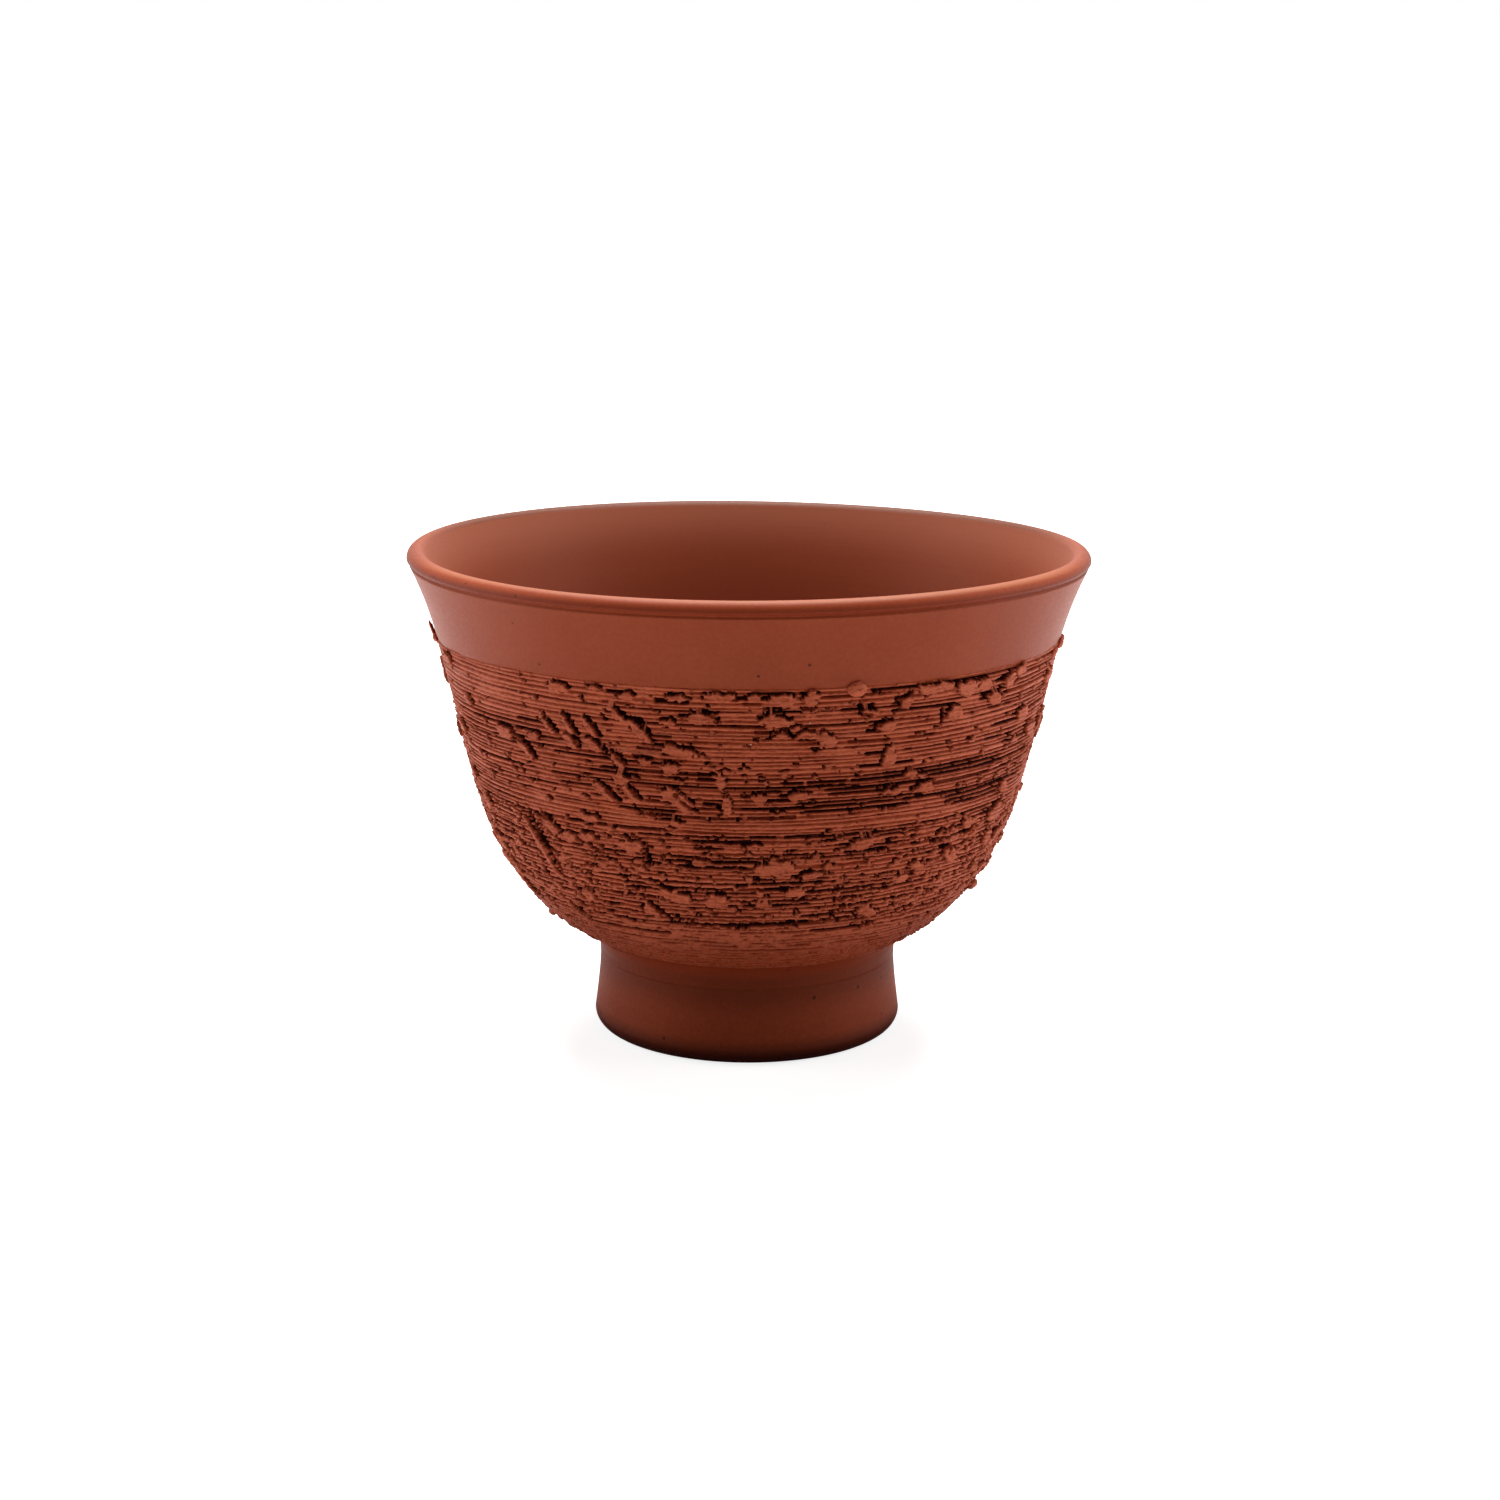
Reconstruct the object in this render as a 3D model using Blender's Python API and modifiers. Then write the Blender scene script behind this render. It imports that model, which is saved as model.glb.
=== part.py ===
"""A footed tea cup of unglazed red clay: a thrown bowl, a combed coat, a luted joint and a foot ring.

Metres, +Z up. The origin is the centre of the circle that the foot ring stands on.
Every piece is turned about Z from a profile of (radius, height) points.
"""

import math

import bpy
import numpy as np
from mathutils import Vector
from mathutils.geometry import interpolate_bezier

# The cup as a whole
RIM_DIAMETER = 0.0898
CUP_HEIGHT = 0.0656
SEGMENTS = 40

# Outer curve of the bowl, from the joint with the foot up to the lip
JOINT_HEIGHT = 0.0129
BELLY_ANGLE = math.radians(21.5)
BELLY_REACH = 0.0213
LIP_LEAN = math.radians(64.0)
LIP_REACH = 0.0184

# Wall, floor and lip of the bowl
WALL = 0.0036
FLOOR = 0.0040
FLOOR_BLEND = 0.0150
LIP_TAPER = 3
LIP_THICKNESS = 0.0026
LIP_HEIGHT = 0.0023
LIP_STEP = 0.0003
COLLAR_HEIGHT = 0.0089
HEEL_HEIGHT = 0.0008
UNDERSIDE_DISH = 0.0005

# Coat of rough clay, and the comb that is dragged round it
COAT_THICKNESS = 0.0012
COMB_TEETH = 24
COMB_PITCH = 0.00075
COMB_DEPTH = 0.00045
PASS_GAP = 0.0012
TEAR_HEIGHT = 0.0010
TEAR_SIZE = 0.0030

# Foot ring and the slip that joins it to the bowl
FOOT_DIAMETER = 0.0413
FOOT_NECK_DIAMETER = 0.0397
FOOT_WALL = 0.0042
FOOT_EDGE = 0.0020
FOOT_INNER_EDGE = 0.0008
SLIP_THICKNESS = 0.0008

# Gap that touching pieces keep
CLEARANCE = 0.0003

# Points along the curves, and where shading breaks
CURVE_POINTS = 400
SIDE_POINTS = 9
ROUND_POINTS = 6
EDGE_POINTS = 4
TURN_MERGE = 0.00001
CREASE_ANGLE = math.radians(35.0)

RIM_RADIUS = RIM_DIAMETER / 2
LIP_RADIUS = LIP_THICKNESS / 2
FOOT_RADIUS = FOOT_DIAMETER / 2
NECK_RADIUS = FOOT_NECK_DIAMETER / 2
FOOT_HOLLOW_RADIUS = NECK_RADIUS - FOOT_WALL
SLIP_BASE = JOINT_HEIGHT - CLEARANCE - SLIP_THICKNESS
FOOT_TOP = SLIP_BASE - CLEARANCE
SEAT_DEPTH = COAT_THICKNESS + CLEARANCE


def direction(angle):
    """Unit vector in the profile's plane, turned up from the outward radius."""
    return Vector((math.cos(angle), math.sin(angle)))


def bezier(start, leave, arrive, end, count):
    """Points of a cubic curve with its two handles given as vectors."""
    return interpolate_bezier(start, start + leave, end - arrive, end, count)


def outer_curve():
    """Fine samples of the bowl's outer side, their distance from the joint and their outward normals."""
    lip_normal = direction(LIP_LEAN - math.pi / 2)
    joint = Vector((NECK_RADIUS, JOINT_HEIGHT))
    lip_centre = Vector((RIM_RADIUS - LIP_RADIUS, CUP_HEIGHT - LIP_RADIUS))
    lip = lip_centre + LIP_RADIUS * lip_normal
    leave = BELLY_REACH * direction(BELLY_ANGLE)
    arrive = LIP_REACH * direction(LIP_LEAN)
    points = np.array([tuple(p[:2]) for p in bezier(joint, leave, arrive, lip, CURVE_POINTS)])
    steps = np.linalg.norm(np.diff(points, axis=0), axis=1)
    travel = np.concatenate([[0.0], np.cumsum(steps)])
    slope = np.gradient(points, travel, axis=0)
    normals = np.stack([slope[:, 1], -slope[:, 0]], axis=1)
    normals /= np.linalg.norm(normals, axis=1)[:, None]
    return points, travel, normals


OUTER_POINTS, OUTER_TRAVEL, OUTER_NORMALS = outer_curve()


def travel_to(height):
    """How far along the outer curve, up from the joint, this height is reached."""
    return float(np.interp(height, OUTER_POINTS[:, 1], OUTER_TRAVEL))


# Distances along the outer curve, up from the joint
LIP_END = float(OUTER_TRAVEL[-1])
BEAD_END = travel_to(CUP_HEIGHT - LIP_HEIGHT)
COAT_ROOF = travel_to(CUP_HEIGHT - LIP_HEIGHT - COLLAR_HEIGHT)
COAT_TOP = COAT_ROOF - CLEARANCE
COAT_LEDGE = travel_to(JOINT_HEIGHT + HEEL_HEIGHT)
COAT_FOOT = COAT_LEDGE + CLEARANCE


def side(travel, depth=0.0):
    """The point this far along the outer curve and this deep under it."""
    point = [np.interp(travel, OUTER_TRAVEL, OUTER_POINTS[:, k]) for k in (0, 1)]
    normal = [np.interp(travel, OUTER_TRAVEL, OUTER_NORMALS[:, k]) for k in (0, 1)]
    return Vector(point) - Vector(normal).normalized() * depth


def side_run(start, end, depth, count=SIDE_POINTS):
    """Points at one depth from one distance along the outer curve to another."""
    return [side(travel, depth) for travel in np.linspace(start, end, count)]


def arc(centre, radius, start, end, count=ROUND_POINTS):
    """Points of a circular arc between two angles."""
    return [centre + radius * direction(angle) for angle in np.linspace(start, end, count)]


def inside_run():
    """The drinking surface from the middle of the floor up to the lip."""
    middle = Vector((0.0, JOINT_HEIGHT + FLOOR))
    wall_start = side(FLOOR_BLEND, WALL)
    wall_slope = (side(FLOOR_BLEND + WALL, WALL) - wall_start).normalized()
    floor_reach = wall_start.x / 2
    floor = bezier(
        middle,
        floor_reach * Vector((1.0, 0.0)),
        floor_reach / 2 * wall_slope,
        wall_start,
        SIDE_POINTS,
    )
    wall = []
    for share in np.linspace(0.0, 1.0, SIDE_POINTS)[1:-1]:
        depth = WALL + (LIP_THICKNESS - WALL) * share**LIP_TAPER
        wall.append(side(FLOOR_BLEND + share * (LIP_END - FLOOR_BLEND), depth))
    return [point.to_2d() for point in floor] + wall


def lip_run():
    """The round lip, its bead and the small step under it."""
    centre = side(LIP_END, LIP_RADIUS)
    square = LIP_LEAN - math.pi / 2
    crown = arc(centre, LIP_RADIUS, square + math.pi, square, 2 * ROUND_POINTS - 1)
    return crown + [side(BEAD_END), side(BEAD_END - LIP_STEP, LIP_STEP)]


def bowl_profile():
    """Inside, lip, collar, recess for the coat, heel and underside."""
    collar = side_run(BEAD_END - LIP_STEP, COAT_ROOF, LIP_STEP, ROUND_POINTS)[1:]
    seat = side_run(COAT_ROOF, COAT_LEDGE, SEAT_DEPTH)
    heel = side_run(COAT_LEDGE, 0.0, 0.0, 2)
    seat_edge = Vector((FOOT_HOLLOW_RADIUS, JOINT_HEIGHT))
    middle = Vector((0.0, JOINT_HEIGHT + UNDERSIDE_DISH))
    dish = Vector((-FOOT_HOLLOW_RADIUS / 2, 0.0))
    underside = [p.to_2d() for p in bezier(seat_edge, dish, dish, middle, ROUND_POINTS)]
    return inside_run() + lip_run() + collar + seat + heel + underside


def comb_passes():
    """Distance along the outer curve at which each pass of the comb starts, from the top down."""
    pass_width = COMB_TEETH * COMB_PITCH
    room = COAT_TOP - COAT_FOOT
    count = int((room + PASS_GAP) // (pass_width + PASS_GAP))
    return [COAT_TOP - k * (pass_width + PASS_GAP) for k in range(count)]


def coat_profile():
    """Furrowed outer side and plain inner side, and which points are crests below the top edge."""
    outer = []
    crests = []
    wiped = COAT_TOP
    for start in comb_passes():
        for tooth in range(COMB_TEETH):
            crests.append(len(outer))
            outer.append(side(start - tooth * COMB_PITCH))
            outer.append(side(start - (tooth + 0.5) * COMB_PITCH, COMB_DEPTH))
        wiped = start - COMB_TEETH * COMB_PITCH
        outer.append(side(wiped))
    outer += side_run(wiped, COAT_FOOT, 0.0, ROUND_POINTS)[1:]
    inner = side_run(COAT_FOOT, COAT_TOP, COAT_THICKNESS)
    return outer + inner, crests[1:]


def slip_profile():
    """A flat ring of slip whose edges are squeezed round."""
    radius = SLIP_THICKNESS / 2
    outer = Vector((NECK_RADIUS - radius, SLIP_BASE + radius))
    inner = Vector((FOOT_HOLLOW_RADIUS + radius, SLIP_BASE + radius))
    squeezed = arc(outer, radius, math.pi / 2, -math.pi / 2, EDGE_POINTS)
    return squeezed + arc(inner, radius, -math.pi / 2, -3 * math.pi / 2, EDGE_POINTS)


def foot_profile():
    """A ring that flares towards its base, with a round outer edge and a flat to stand on."""
    edge_centre = Vector((FOOT_RADIUS - FOOT_EDGE, FOOT_EDGE))
    neck = Vector((NECK_RADIUS, FOOT_TOP))
    flare = Vector((FOOT_RADIUS, FOOT_EDGE))
    drop = Vector((0.0, -(FOOT_TOP - FOOT_EDGE) / 2))
    outside = [p.to_2d() for p in bezier(neck, drop, drop / 2, flare, ROUND_POINTS)]
    edge = arc(edge_centre, FOOT_EDGE, 0.0, -math.pi / 2)[1:]
    inner_centre = Vector((FOOT_HOLLOW_RADIUS + FOOT_INNER_EDGE, FOOT_INNER_EDGE))
    inner_edge = arc(inner_centre, FOOT_INNER_EDGE, -math.pi / 2, -math.pi, EDGE_POINTS)
    return outside + edge + inner_edge + [Vector((FOOT_HOLLOW_RADIUS, FOOT_TOP))]


def clay(name, colour, roughness):
    """Fired, unglazed clay."""
    material = bpy.data.materials.new(name)
    material.use_nodes = True
    shader = material.node_tree.nodes["Principled BSDF"]
    shader.inputs["Base Color"].default_value = (*colour, 1.0)
    shader.inputs["Roughness"].default_value = roughness
    shader.inputs["Metallic"].default_value = 0.0
    return material


def turned(name, profile, closed, material, owner):
    """A profile turned a full circle about Z."""
    mesh = bpy.data.meshes.new(name)
    count = len(profile)
    edges = [(k, k + 1) for k in range(count - 1)]
    if closed:
        edges.append((count - 1, 0))
    mesh.from_pydata([(p.x, 0.0, p.y) for p in profile], edges, [])
    mesh.materials.append(material)
    piece = bpy.data.objects.new(name, mesh)
    owner.objects.link(piece)
    screw = piece.modifiers.new("Turn", "SCREW")
    screw.steps = SEGMENTS
    screw.render_steps = SEGMENTS
    screw.use_merge_vertices = True
    screw.merge_threshold = TURN_MERGE
    screw.use_smooth_shade = True
    return piece


def tear(piece, crests):
    """Raises and lowers the crests left between the comb's furrows, as torn clay does."""
    group = piece.vertex_groups.new(name="crests")
    group.add(crests, 1.0, "REPLACE")
    grain = bpy.data.textures.new("torn clay", "CLOUDS")
    grain.noise_scale = TEAR_SIZE
    torn = piece.modifiers.new("Tear", "DISPLACE")
    torn.texture = grain
    torn.texture_coords = "LOCAL"
    torn.vertex_group = group.name
    torn.mid_level = 0.5
    torn.strength = TEAR_HEIGHT


def settle(piece):
    """Makes the modifiers' result the piece's own mesh, smooth but for its creases."""
    graph = bpy.context.evaluated_depsgraph_get()
    mesh = bpy.data.meshes.new_from_object(piece.evaluated_get(graph))
    piece.modifiers.clear()
    piece.data = mesh
    mesh.shade_smooth()
    mesh.set_sharp_from_angle(angle=CREASE_ANGLE)


def main():
    for leftover in list(bpy.data.objects):
        bpy.data.objects.remove(leftover)
    teacup = bpy.data.collections.new("japanese_teacup")
    bpy.context.scene.collection.children.link(teacup)
    stand = bpy.data.objects.new("standing_centre", None)
    teacup.objects.link(stand)

    smooth_clay = clay("smooth red clay", (0.26, 0.058, 0.028), 0.50)
    combed_clay = clay("combed red clay", (0.22, 0.046, 0.022), 0.62)
    slip = clay("red slip", (0.24, 0.052, 0.025), 0.55)
    foot_clay = clay("trimmed red clay", (0.24, 0.054, 0.028), 0.55)

    coat_points, crests = coat_profile()
    coat = turned("combed_coat", coat_points, True, combed_clay, teacup)
    tear(coat, crests)
    pieces = [
        turned("bowl", bowl_profile(), False, smooth_clay, teacup),
        coat,
        turned("slip_joint", slip_profile(), True, slip, teacup),
        turned("foot_ring", foot_profile(), True, foot_clay, teacup),
    ]
    for piece in pieces:
        settle(piece)
        piece.parent = stand


main()
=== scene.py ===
# Looks of a footed tea cup in unglazed red clay: thrown bowl, combed and torn coat, slip joint and foot ring.
import math
import random

import bpy
import numpy as np
from mathutils import Matrix, Vector
from mathutils.geometry import interpolate_bezier


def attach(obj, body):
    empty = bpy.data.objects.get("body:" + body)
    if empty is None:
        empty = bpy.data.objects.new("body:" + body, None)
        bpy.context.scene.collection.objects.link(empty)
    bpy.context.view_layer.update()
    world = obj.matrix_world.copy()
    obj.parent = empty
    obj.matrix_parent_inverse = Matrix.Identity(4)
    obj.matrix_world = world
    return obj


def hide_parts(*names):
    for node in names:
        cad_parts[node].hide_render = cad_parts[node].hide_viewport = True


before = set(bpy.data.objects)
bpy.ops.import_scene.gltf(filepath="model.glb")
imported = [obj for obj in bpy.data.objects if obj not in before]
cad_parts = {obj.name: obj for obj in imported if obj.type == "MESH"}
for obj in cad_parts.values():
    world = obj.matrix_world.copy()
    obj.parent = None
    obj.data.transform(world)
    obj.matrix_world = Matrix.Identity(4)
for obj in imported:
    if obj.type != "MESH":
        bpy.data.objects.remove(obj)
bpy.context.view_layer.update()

MM = 0.001

# Outer curve of the bowl, from the joint with the foot up to the lip
RIM_RADIUS = 44.9 * MM
CUP_HEIGHT = 65.6 * MM
NECK_RADIUS = 19.85 * MM
JOINT_HEIGHT = 12.9 * MM
BELLY_ANGLE = math.radians(21.5)
BELLY_REACH = 21.3 * MM
LIP_LEAN = math.radians(64.0)
LIP_REACH = 18.4 * MM

# Wall, floor and lip
WALL = 3.6 * MM
FLOOR = 4.0 * MM
FLOOR_BLEND = 15.0 * MM
LIP_TAPER = 3
LIP_RADIUS = 1.3 * MM
LIP_HEIGHT = 1.95 * MM
LIP_CREASE = 0.40 * MM
TUCK_ANGLE = math.radians(-120.0)
COLLAR_DEPTH = 0.1 * MM
COLLAR_HEIGHT = 9.25 * MM
HEEL_HEIGHT = 0.8 * MM
UNDERSIDE_DISH = 0.5 * MM

# How the rim, thrown by hand, dips below its highest point
RIM_DIP = 0.30 * MM
RIM_TILT = 0.10 * MM
RIM_WARP = 0.17 * MM

# Foot ring and slip
FOOT_RADIUS = 20.65 * MM
FOOT_HOLLOW_RADIUS = 15.65 * MM
FOOT_EDGE = 2.0 * MM
FOOT_INNER_EDGE = 0.8 * MM
FOOT_TOP = 11.6 * MM
FILLET = 1.5 * MM

# Combed coat
COAT_THICKNESS = 1.4 * MM
FURROWS = 70
FURROW_SPREAD = 0.45
FURROW_WANDER = 0.35 * MM
BANDS = 14
ROWS_PER_FURROW = 6
COLUMNS = 1800
INNER_ROWS = 1
CRUMB_SEED = 7

# Camera, as far off and as high as the photograph's
CAMERA_DISTANCE = 370.0 * MM
CAMERA_PITCH = math.radians(12.8)
CAMERA_ROLL = math.radians(0.28)
CAMERA_AIM = Vector((0.26 * MM, 0.0, 37.5 * MM))
CAMERA_LENS = 66.23
CAMERA_SENSOR = 36.0

# Lamps: name, place and size in metres, and power in watts
LAMPS = (
    ("left soft light", (-0.75, 0.0, 0.25), (0.5, 0.7), 2.8),
    ("right soft light", (0.75, 0.0, 0.25), (0.5, 0.7), 2.8),
    ("top soft light", (0.0, 0.25, 0.80), (0.7, 0.6), 18.0),
)
LAMP_AIM = (0.0, 0.0, 0.035)
ROOM_LIGHT = 0.11

# Floor: its greys, and how brightly it shows beside the cup
FLOOR_SIZE = 6.0
FLOOR_DARK = (0.63, 0.63, 0.63, 1.0)
FLOOR_PALE = (0.65, 0.65, 0.65, 1.0)
FLOOR_GLOW = 0.80
WHITE = (1.0, 1.0, 1.0, 1.0)

# Fineness of the curves
CURVE_POINTS = 600
CURVE_RESOLUTION = 256
TURN_STEPS = 288
MERGE_REACH = 0.01 * MM


# Curves


def direction(angle):
    """Unit vector in the profile's plane, turned up from the outward radius."""
    return Vector((math.cos(angle), math.sin(angle)))


def bezier(start, leave, arrive, end, count):
    """Points of a cubic curve with its two handles given as vectors."""
    points = interpolate_bezier(start, start + leave, end - arrive, end, count)
    return [point.to_2d() for point in points]


OUTER_JOINT = Vector((NECK_RADIUS, JOINT_HEIGHT))
OUTER_LIP = Vector((RIM_RADIUS - LIP_RADIUS, CUP_HEIGHT - LIP_RADIUS))
OUTER_LIP = OUTER_LIP + LIP_RADIUS * direction(LIP_LEAN - math.pi / 2)
OUTER_LEAVE = BELLY_REACH * direction(BELLY_ANGLE)
OUTER_ARRIVE = LIP_REACH * direction(LIP_LEAN)
OUTER_POINTS = np.array(bezier(OUTER_JOINT, OUTER_LEAVE, OUTER_ARRIVE, OUTER_LIP, CURVE_POINTS))
OUTER_STEPS = np.linalg.norm(np.diff(OUTER_POINTS, axis=0), axis=1)
OUTER_TRAVEL = np.concatenate([[0.0], np.cumsum(OUTER_STEPS)])
OUTER_SLOPES = np.gradient(OUTER_POINTS, OUTER_TRAVEL, axis=0)


def travel_to(height):
    """How far along the outer curve, up from the joint, this height is reached."""
    return float(np.interp(height, OUTER_POINTS[:, 1], OUTER_TRAVEL))


def side(travel, depth=0.0):
    """The point this far along the outer curve and this deep under it."""
    point = [np.interp(travel, OUTER_TRAVEL, OUTER_POINTS[:, k]) for k in (0, 1)]
    slope = [np.interp(travel, OUTER_TRAVEL, OUTER_SLOPES[:, k]) for k in (0, 1)]
    return Vector(point) - Vector((slope[1], -slope[0])).normalized() * depth


def side_run(start, end, depth, count):
    """Points at one depth from one distance along the outer curve to another."""
    return [side(travel, depth) for travel in np.linspace(start, end, count)]


def arc(centre, radius, start, end, count):
    """Points of a circular arc between two angles."""
    return [centre + radius * direction(angle) for angle in np.linspace(start, end, count)]


def on_cup(angle, height):
    """The point of the outer surface at this angle round from the front, in degrees, and this height."""
    radius = side(travel_to(height)).x
    turn = math.radians(angle)
    return Vector((radius * math.sin(turn), -radius * math.cos(turn), height))


LIP_END = float(OUTER_TRAVEL[-1])
BEAD_END = travel_to(CUP_HEIGHT - LIP_HEIGHT)
COAT_TOP = travel_to(CUP_HEIGHT - LIP_HEIGHT - COLLAR_HEIGHT)
COAT_FOOT = travel_to(JOINT_HEIGHT + HEEL_HEIGHT)
FURROW_PITCH = (COAT_TOP - COAT_FOOT) / FURROWS
COAT_EDGE = side(COAT_TOP - FURROW_PITCH / 4).y / MM


def furrow_travel(line):
    """How far along the outer curve a furrow runs. They lie wider apart low on the belly, near the foot."""
    share = line / FURROWS
    return COAT_FOOT + (COAT_TOP - COAT_FOOT) * (share + FURROW_SPREAD * share * (1.0 - share) ** 2)


# Node trees


class Field:
    """One value in a node tree. Arithmetic on fields adds Math nodes to the tree."""

    def __init__(self, socket):
        self.socket = socket
        self.tree = socket.id_data

    def math(self, operation, *values):
        node = self.tree.nodes.new("ShaderNodeMath")
        node.operation = operation
        for socket, value in zip(node.inputs, values):
            feed(value, socket)
        return Field(node.outputs[0])

    def __add__(self, other):
        return self.math("ADD", self, other)

    def __radd__(self, other):
        return self.math("ADD", other, self)

    def __sub__(self, other):
        return self.math("SUBTRACT", self, other)

    def __rsub__(self, other):
        return self.math("SUBTRACT", other, self)

    def __mul__(self, other):
        return self.math("MULTIPLY", self, other)

    def __rmul__(self, other):
        return self.math("MULTIPLY", other, self)

    def __truediv__(self, other):
        return self.math("DIVIDE", self, other)

    def smooth(self, low, high):
        """0 at low, 1 at high and a soft step between; low may be above high."""
        inputs = {"Value": self, "From Min": low, "From Max": high}
        return out(put(self.tree, "ShaderNodeMapRange", inputs, interpolation_type="SMOOTHSTEP"))

    def ramp(self, low, high, first, last):
        """first at low, last at high, straight between and level beyond."""
        inputs = {"Value": self, "From Min": low, "From Max": high, "To Min": first, "To Max": last}
        return out(put(self.tree, "ShaderNodeMapRange", inputs))

    def clamped(self):
        return self.larger(0.0).smaller(1.0)

    def larger(self, other):
        return self.math("MAXIMUM", self, other)

    def smaller(self, other):
        return self.math("MINIMUM", self, other)

    def root(self):
        return self.math("SQRT", self)

    def absolute(self):
        return self.math("ABSOLUTE", self)

    def part(self, axis):
        """The X, Y or Z of a vector."""
        return out(put(self.tree, "ShaderNodeSeparateXYZ", {"Vector": self}), axis)

    def blend(self, first, last):
        """first where this field is 0 and last where it is 1."""
        return first + self * (last - first)


def feed(value, socket):
    """Links a field to an input socket, or sets the socket to a plain value."""
    if isinstance(value, Field):
        value.tree.links.new(value.socket, socket)
    else:
        socket.default_value = value


def put(tree, kind, inputs=None, **settings):
    """A new node with its settings, and its inputs given by name."""
    node = tree.nodes.new(kind)
    for name, value in settings.items():
        setattr(node, name, value)
    for name, value in (inputs or {}).items():
        feed(value, next(s for s in node.inputs if s.name == name and s.enabled))
    return node


def out(node, name=None):
    """A node's output as a field: the named one, or the first in use."""
    return Field(next(s for s in node.outputs if s.enabled and name in (None, s.name)))


def vector(tree, x, y, z):
    return out(put(tree, "ShaderNodeCombineXYZ", {"X": x, "Y": y, "Z": z}))


def noise(spot, size, detail=2.0, roughness=0.5):
    """Cloudy noise from 0 to 1 whose patches are about this wide."""
    inputs = {"Vector": spot, "Scale": 1.0 / size, "Detail": detail, "Roughness": roughness}
    return out(put(spot.tree, "ShaderNodeTexNoise", inputs))


def stretched(spot, along, across):
    """Coordinates in which a pattern of size 1 is this long round the cup and this tall."""
    return vector(spot.tree, spot.part("X") / along, spot.part("Y") / along, spot.part("Z") / across)


def scaled(spot, share):
    return out(put(spot.tree, "ShaderNodeVectorMath", {"Vector": spot, "Scale": share}, operation="SCALE"))


def in_millimetres(place):
    return scaled(place, 1.0 / MM)


def of_two(operation, first, second):
    """Vector Math on two vectors."""
    node = put(first.tree, "ShaderNodeVectorMath", operation=operation)
    feed(first, node.inputs[0])
    feed(second, node.inputs[1])
    return out(node)


def shifted(spot, offset):
    return of_two("ADD", spot, offset)


def distance(first, second):
    return of_two("DISTANCE", first, second)


def radius_of(spot):
    """How far from the cup's axis."""
    return (spot.part("X") * spot.part("X") + spot.part("Y") * spot.part("Y")).root()


def around(spot):
    """Angle round the cup from the front."""
    return spot.math("ARCTAN2", spot.part("X"), spot.part("Y") * -1.0)


def shape_tree(title, inputs):
    """A new Geometry Nodes tree, and its inputs by name. Each input has a name, a kind and a first value."""
    tree = bpy.data.node_groups.new(title, "GeometryNodeTree")
    tree.interface.new_socket("Geometry", in_out="OUTPUT", socket_type="NodeSocketGeometry")
    for name, kind, first in inputs:
        socket = tree.interface.new_socket(name, in_out="INPUT", socket_type="NodeSocket" + kind)
        if first is not None:
            socket.default_value = first
    given = put(tree, "NodeGroupInput")
    return tree, {name: Field(given.outputs[name]) for name, _, _ in inputs}


def end_shape(mesh, material):
    """Ends a tree with its mesh, shaded smooth and of one material."""
    mesh = out(put(mesh.tree, "GeometryNodeSetShadeSmooth", {"Geometry": mesh}))
    mesh = out(put(mesh.tree, "GeometryNodeRealizeInstances", {"Geometry": mesh}))
    mesh = out(put(mesh.tree, "GeometryNodeSetMaterial", {"Geometry": mesh, "Material": material}))
    feed(mesh, put(mesh.tree, "NodeGroupOutput").inputs[0])


def points_of(mark_object):
    """The loose points of an object, for a tree that looks them up."""
    return out(put(mark_object.tree, "GeometryNodeObjectInfo", {"Object": mark_object}), "Geometry")


def named(tree, name, kind="FLOAT"):
    return out(put(tree, "GeometryNodeInputNamedAttribute", {"Name": name}, data_type=kind))


def stored(geometry, name, value):
    inputs = {"Geometry": geometry, "Name": name, "Value": value}
    return out(put(geometry.tree, "GeometryNodeStoreNamedAttribute", inputs, data_type="FLOAT"))


def grown(name, tree, values):
    """Runs a node tree and keeps its result as a plain mesh."""
    piece = bpy.data.objects.new(name, bpy.data.meshes.new(name))
    bpy.context.scene.collection.objects.link(piece)
    modifier = piece.modifiers.new("Shape", "NODES")
    modifier.node_group = tree
    for item in tree.interface.items_tree:
        if item.in_out == "INPUT" and item.name in values:
            modifier[item.identifier] = values[item.name]
    graph = bpy.context.evaluated_depsgraph_get()
    mesh = bpy.data.meshes.new_from_object(piece.evaluated_get(graph))
    piece.modifiers.clear()
    piece.data = mesh
    return piece


# Marks that the comb and the tearing clay left in front, read from the photograph


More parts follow.
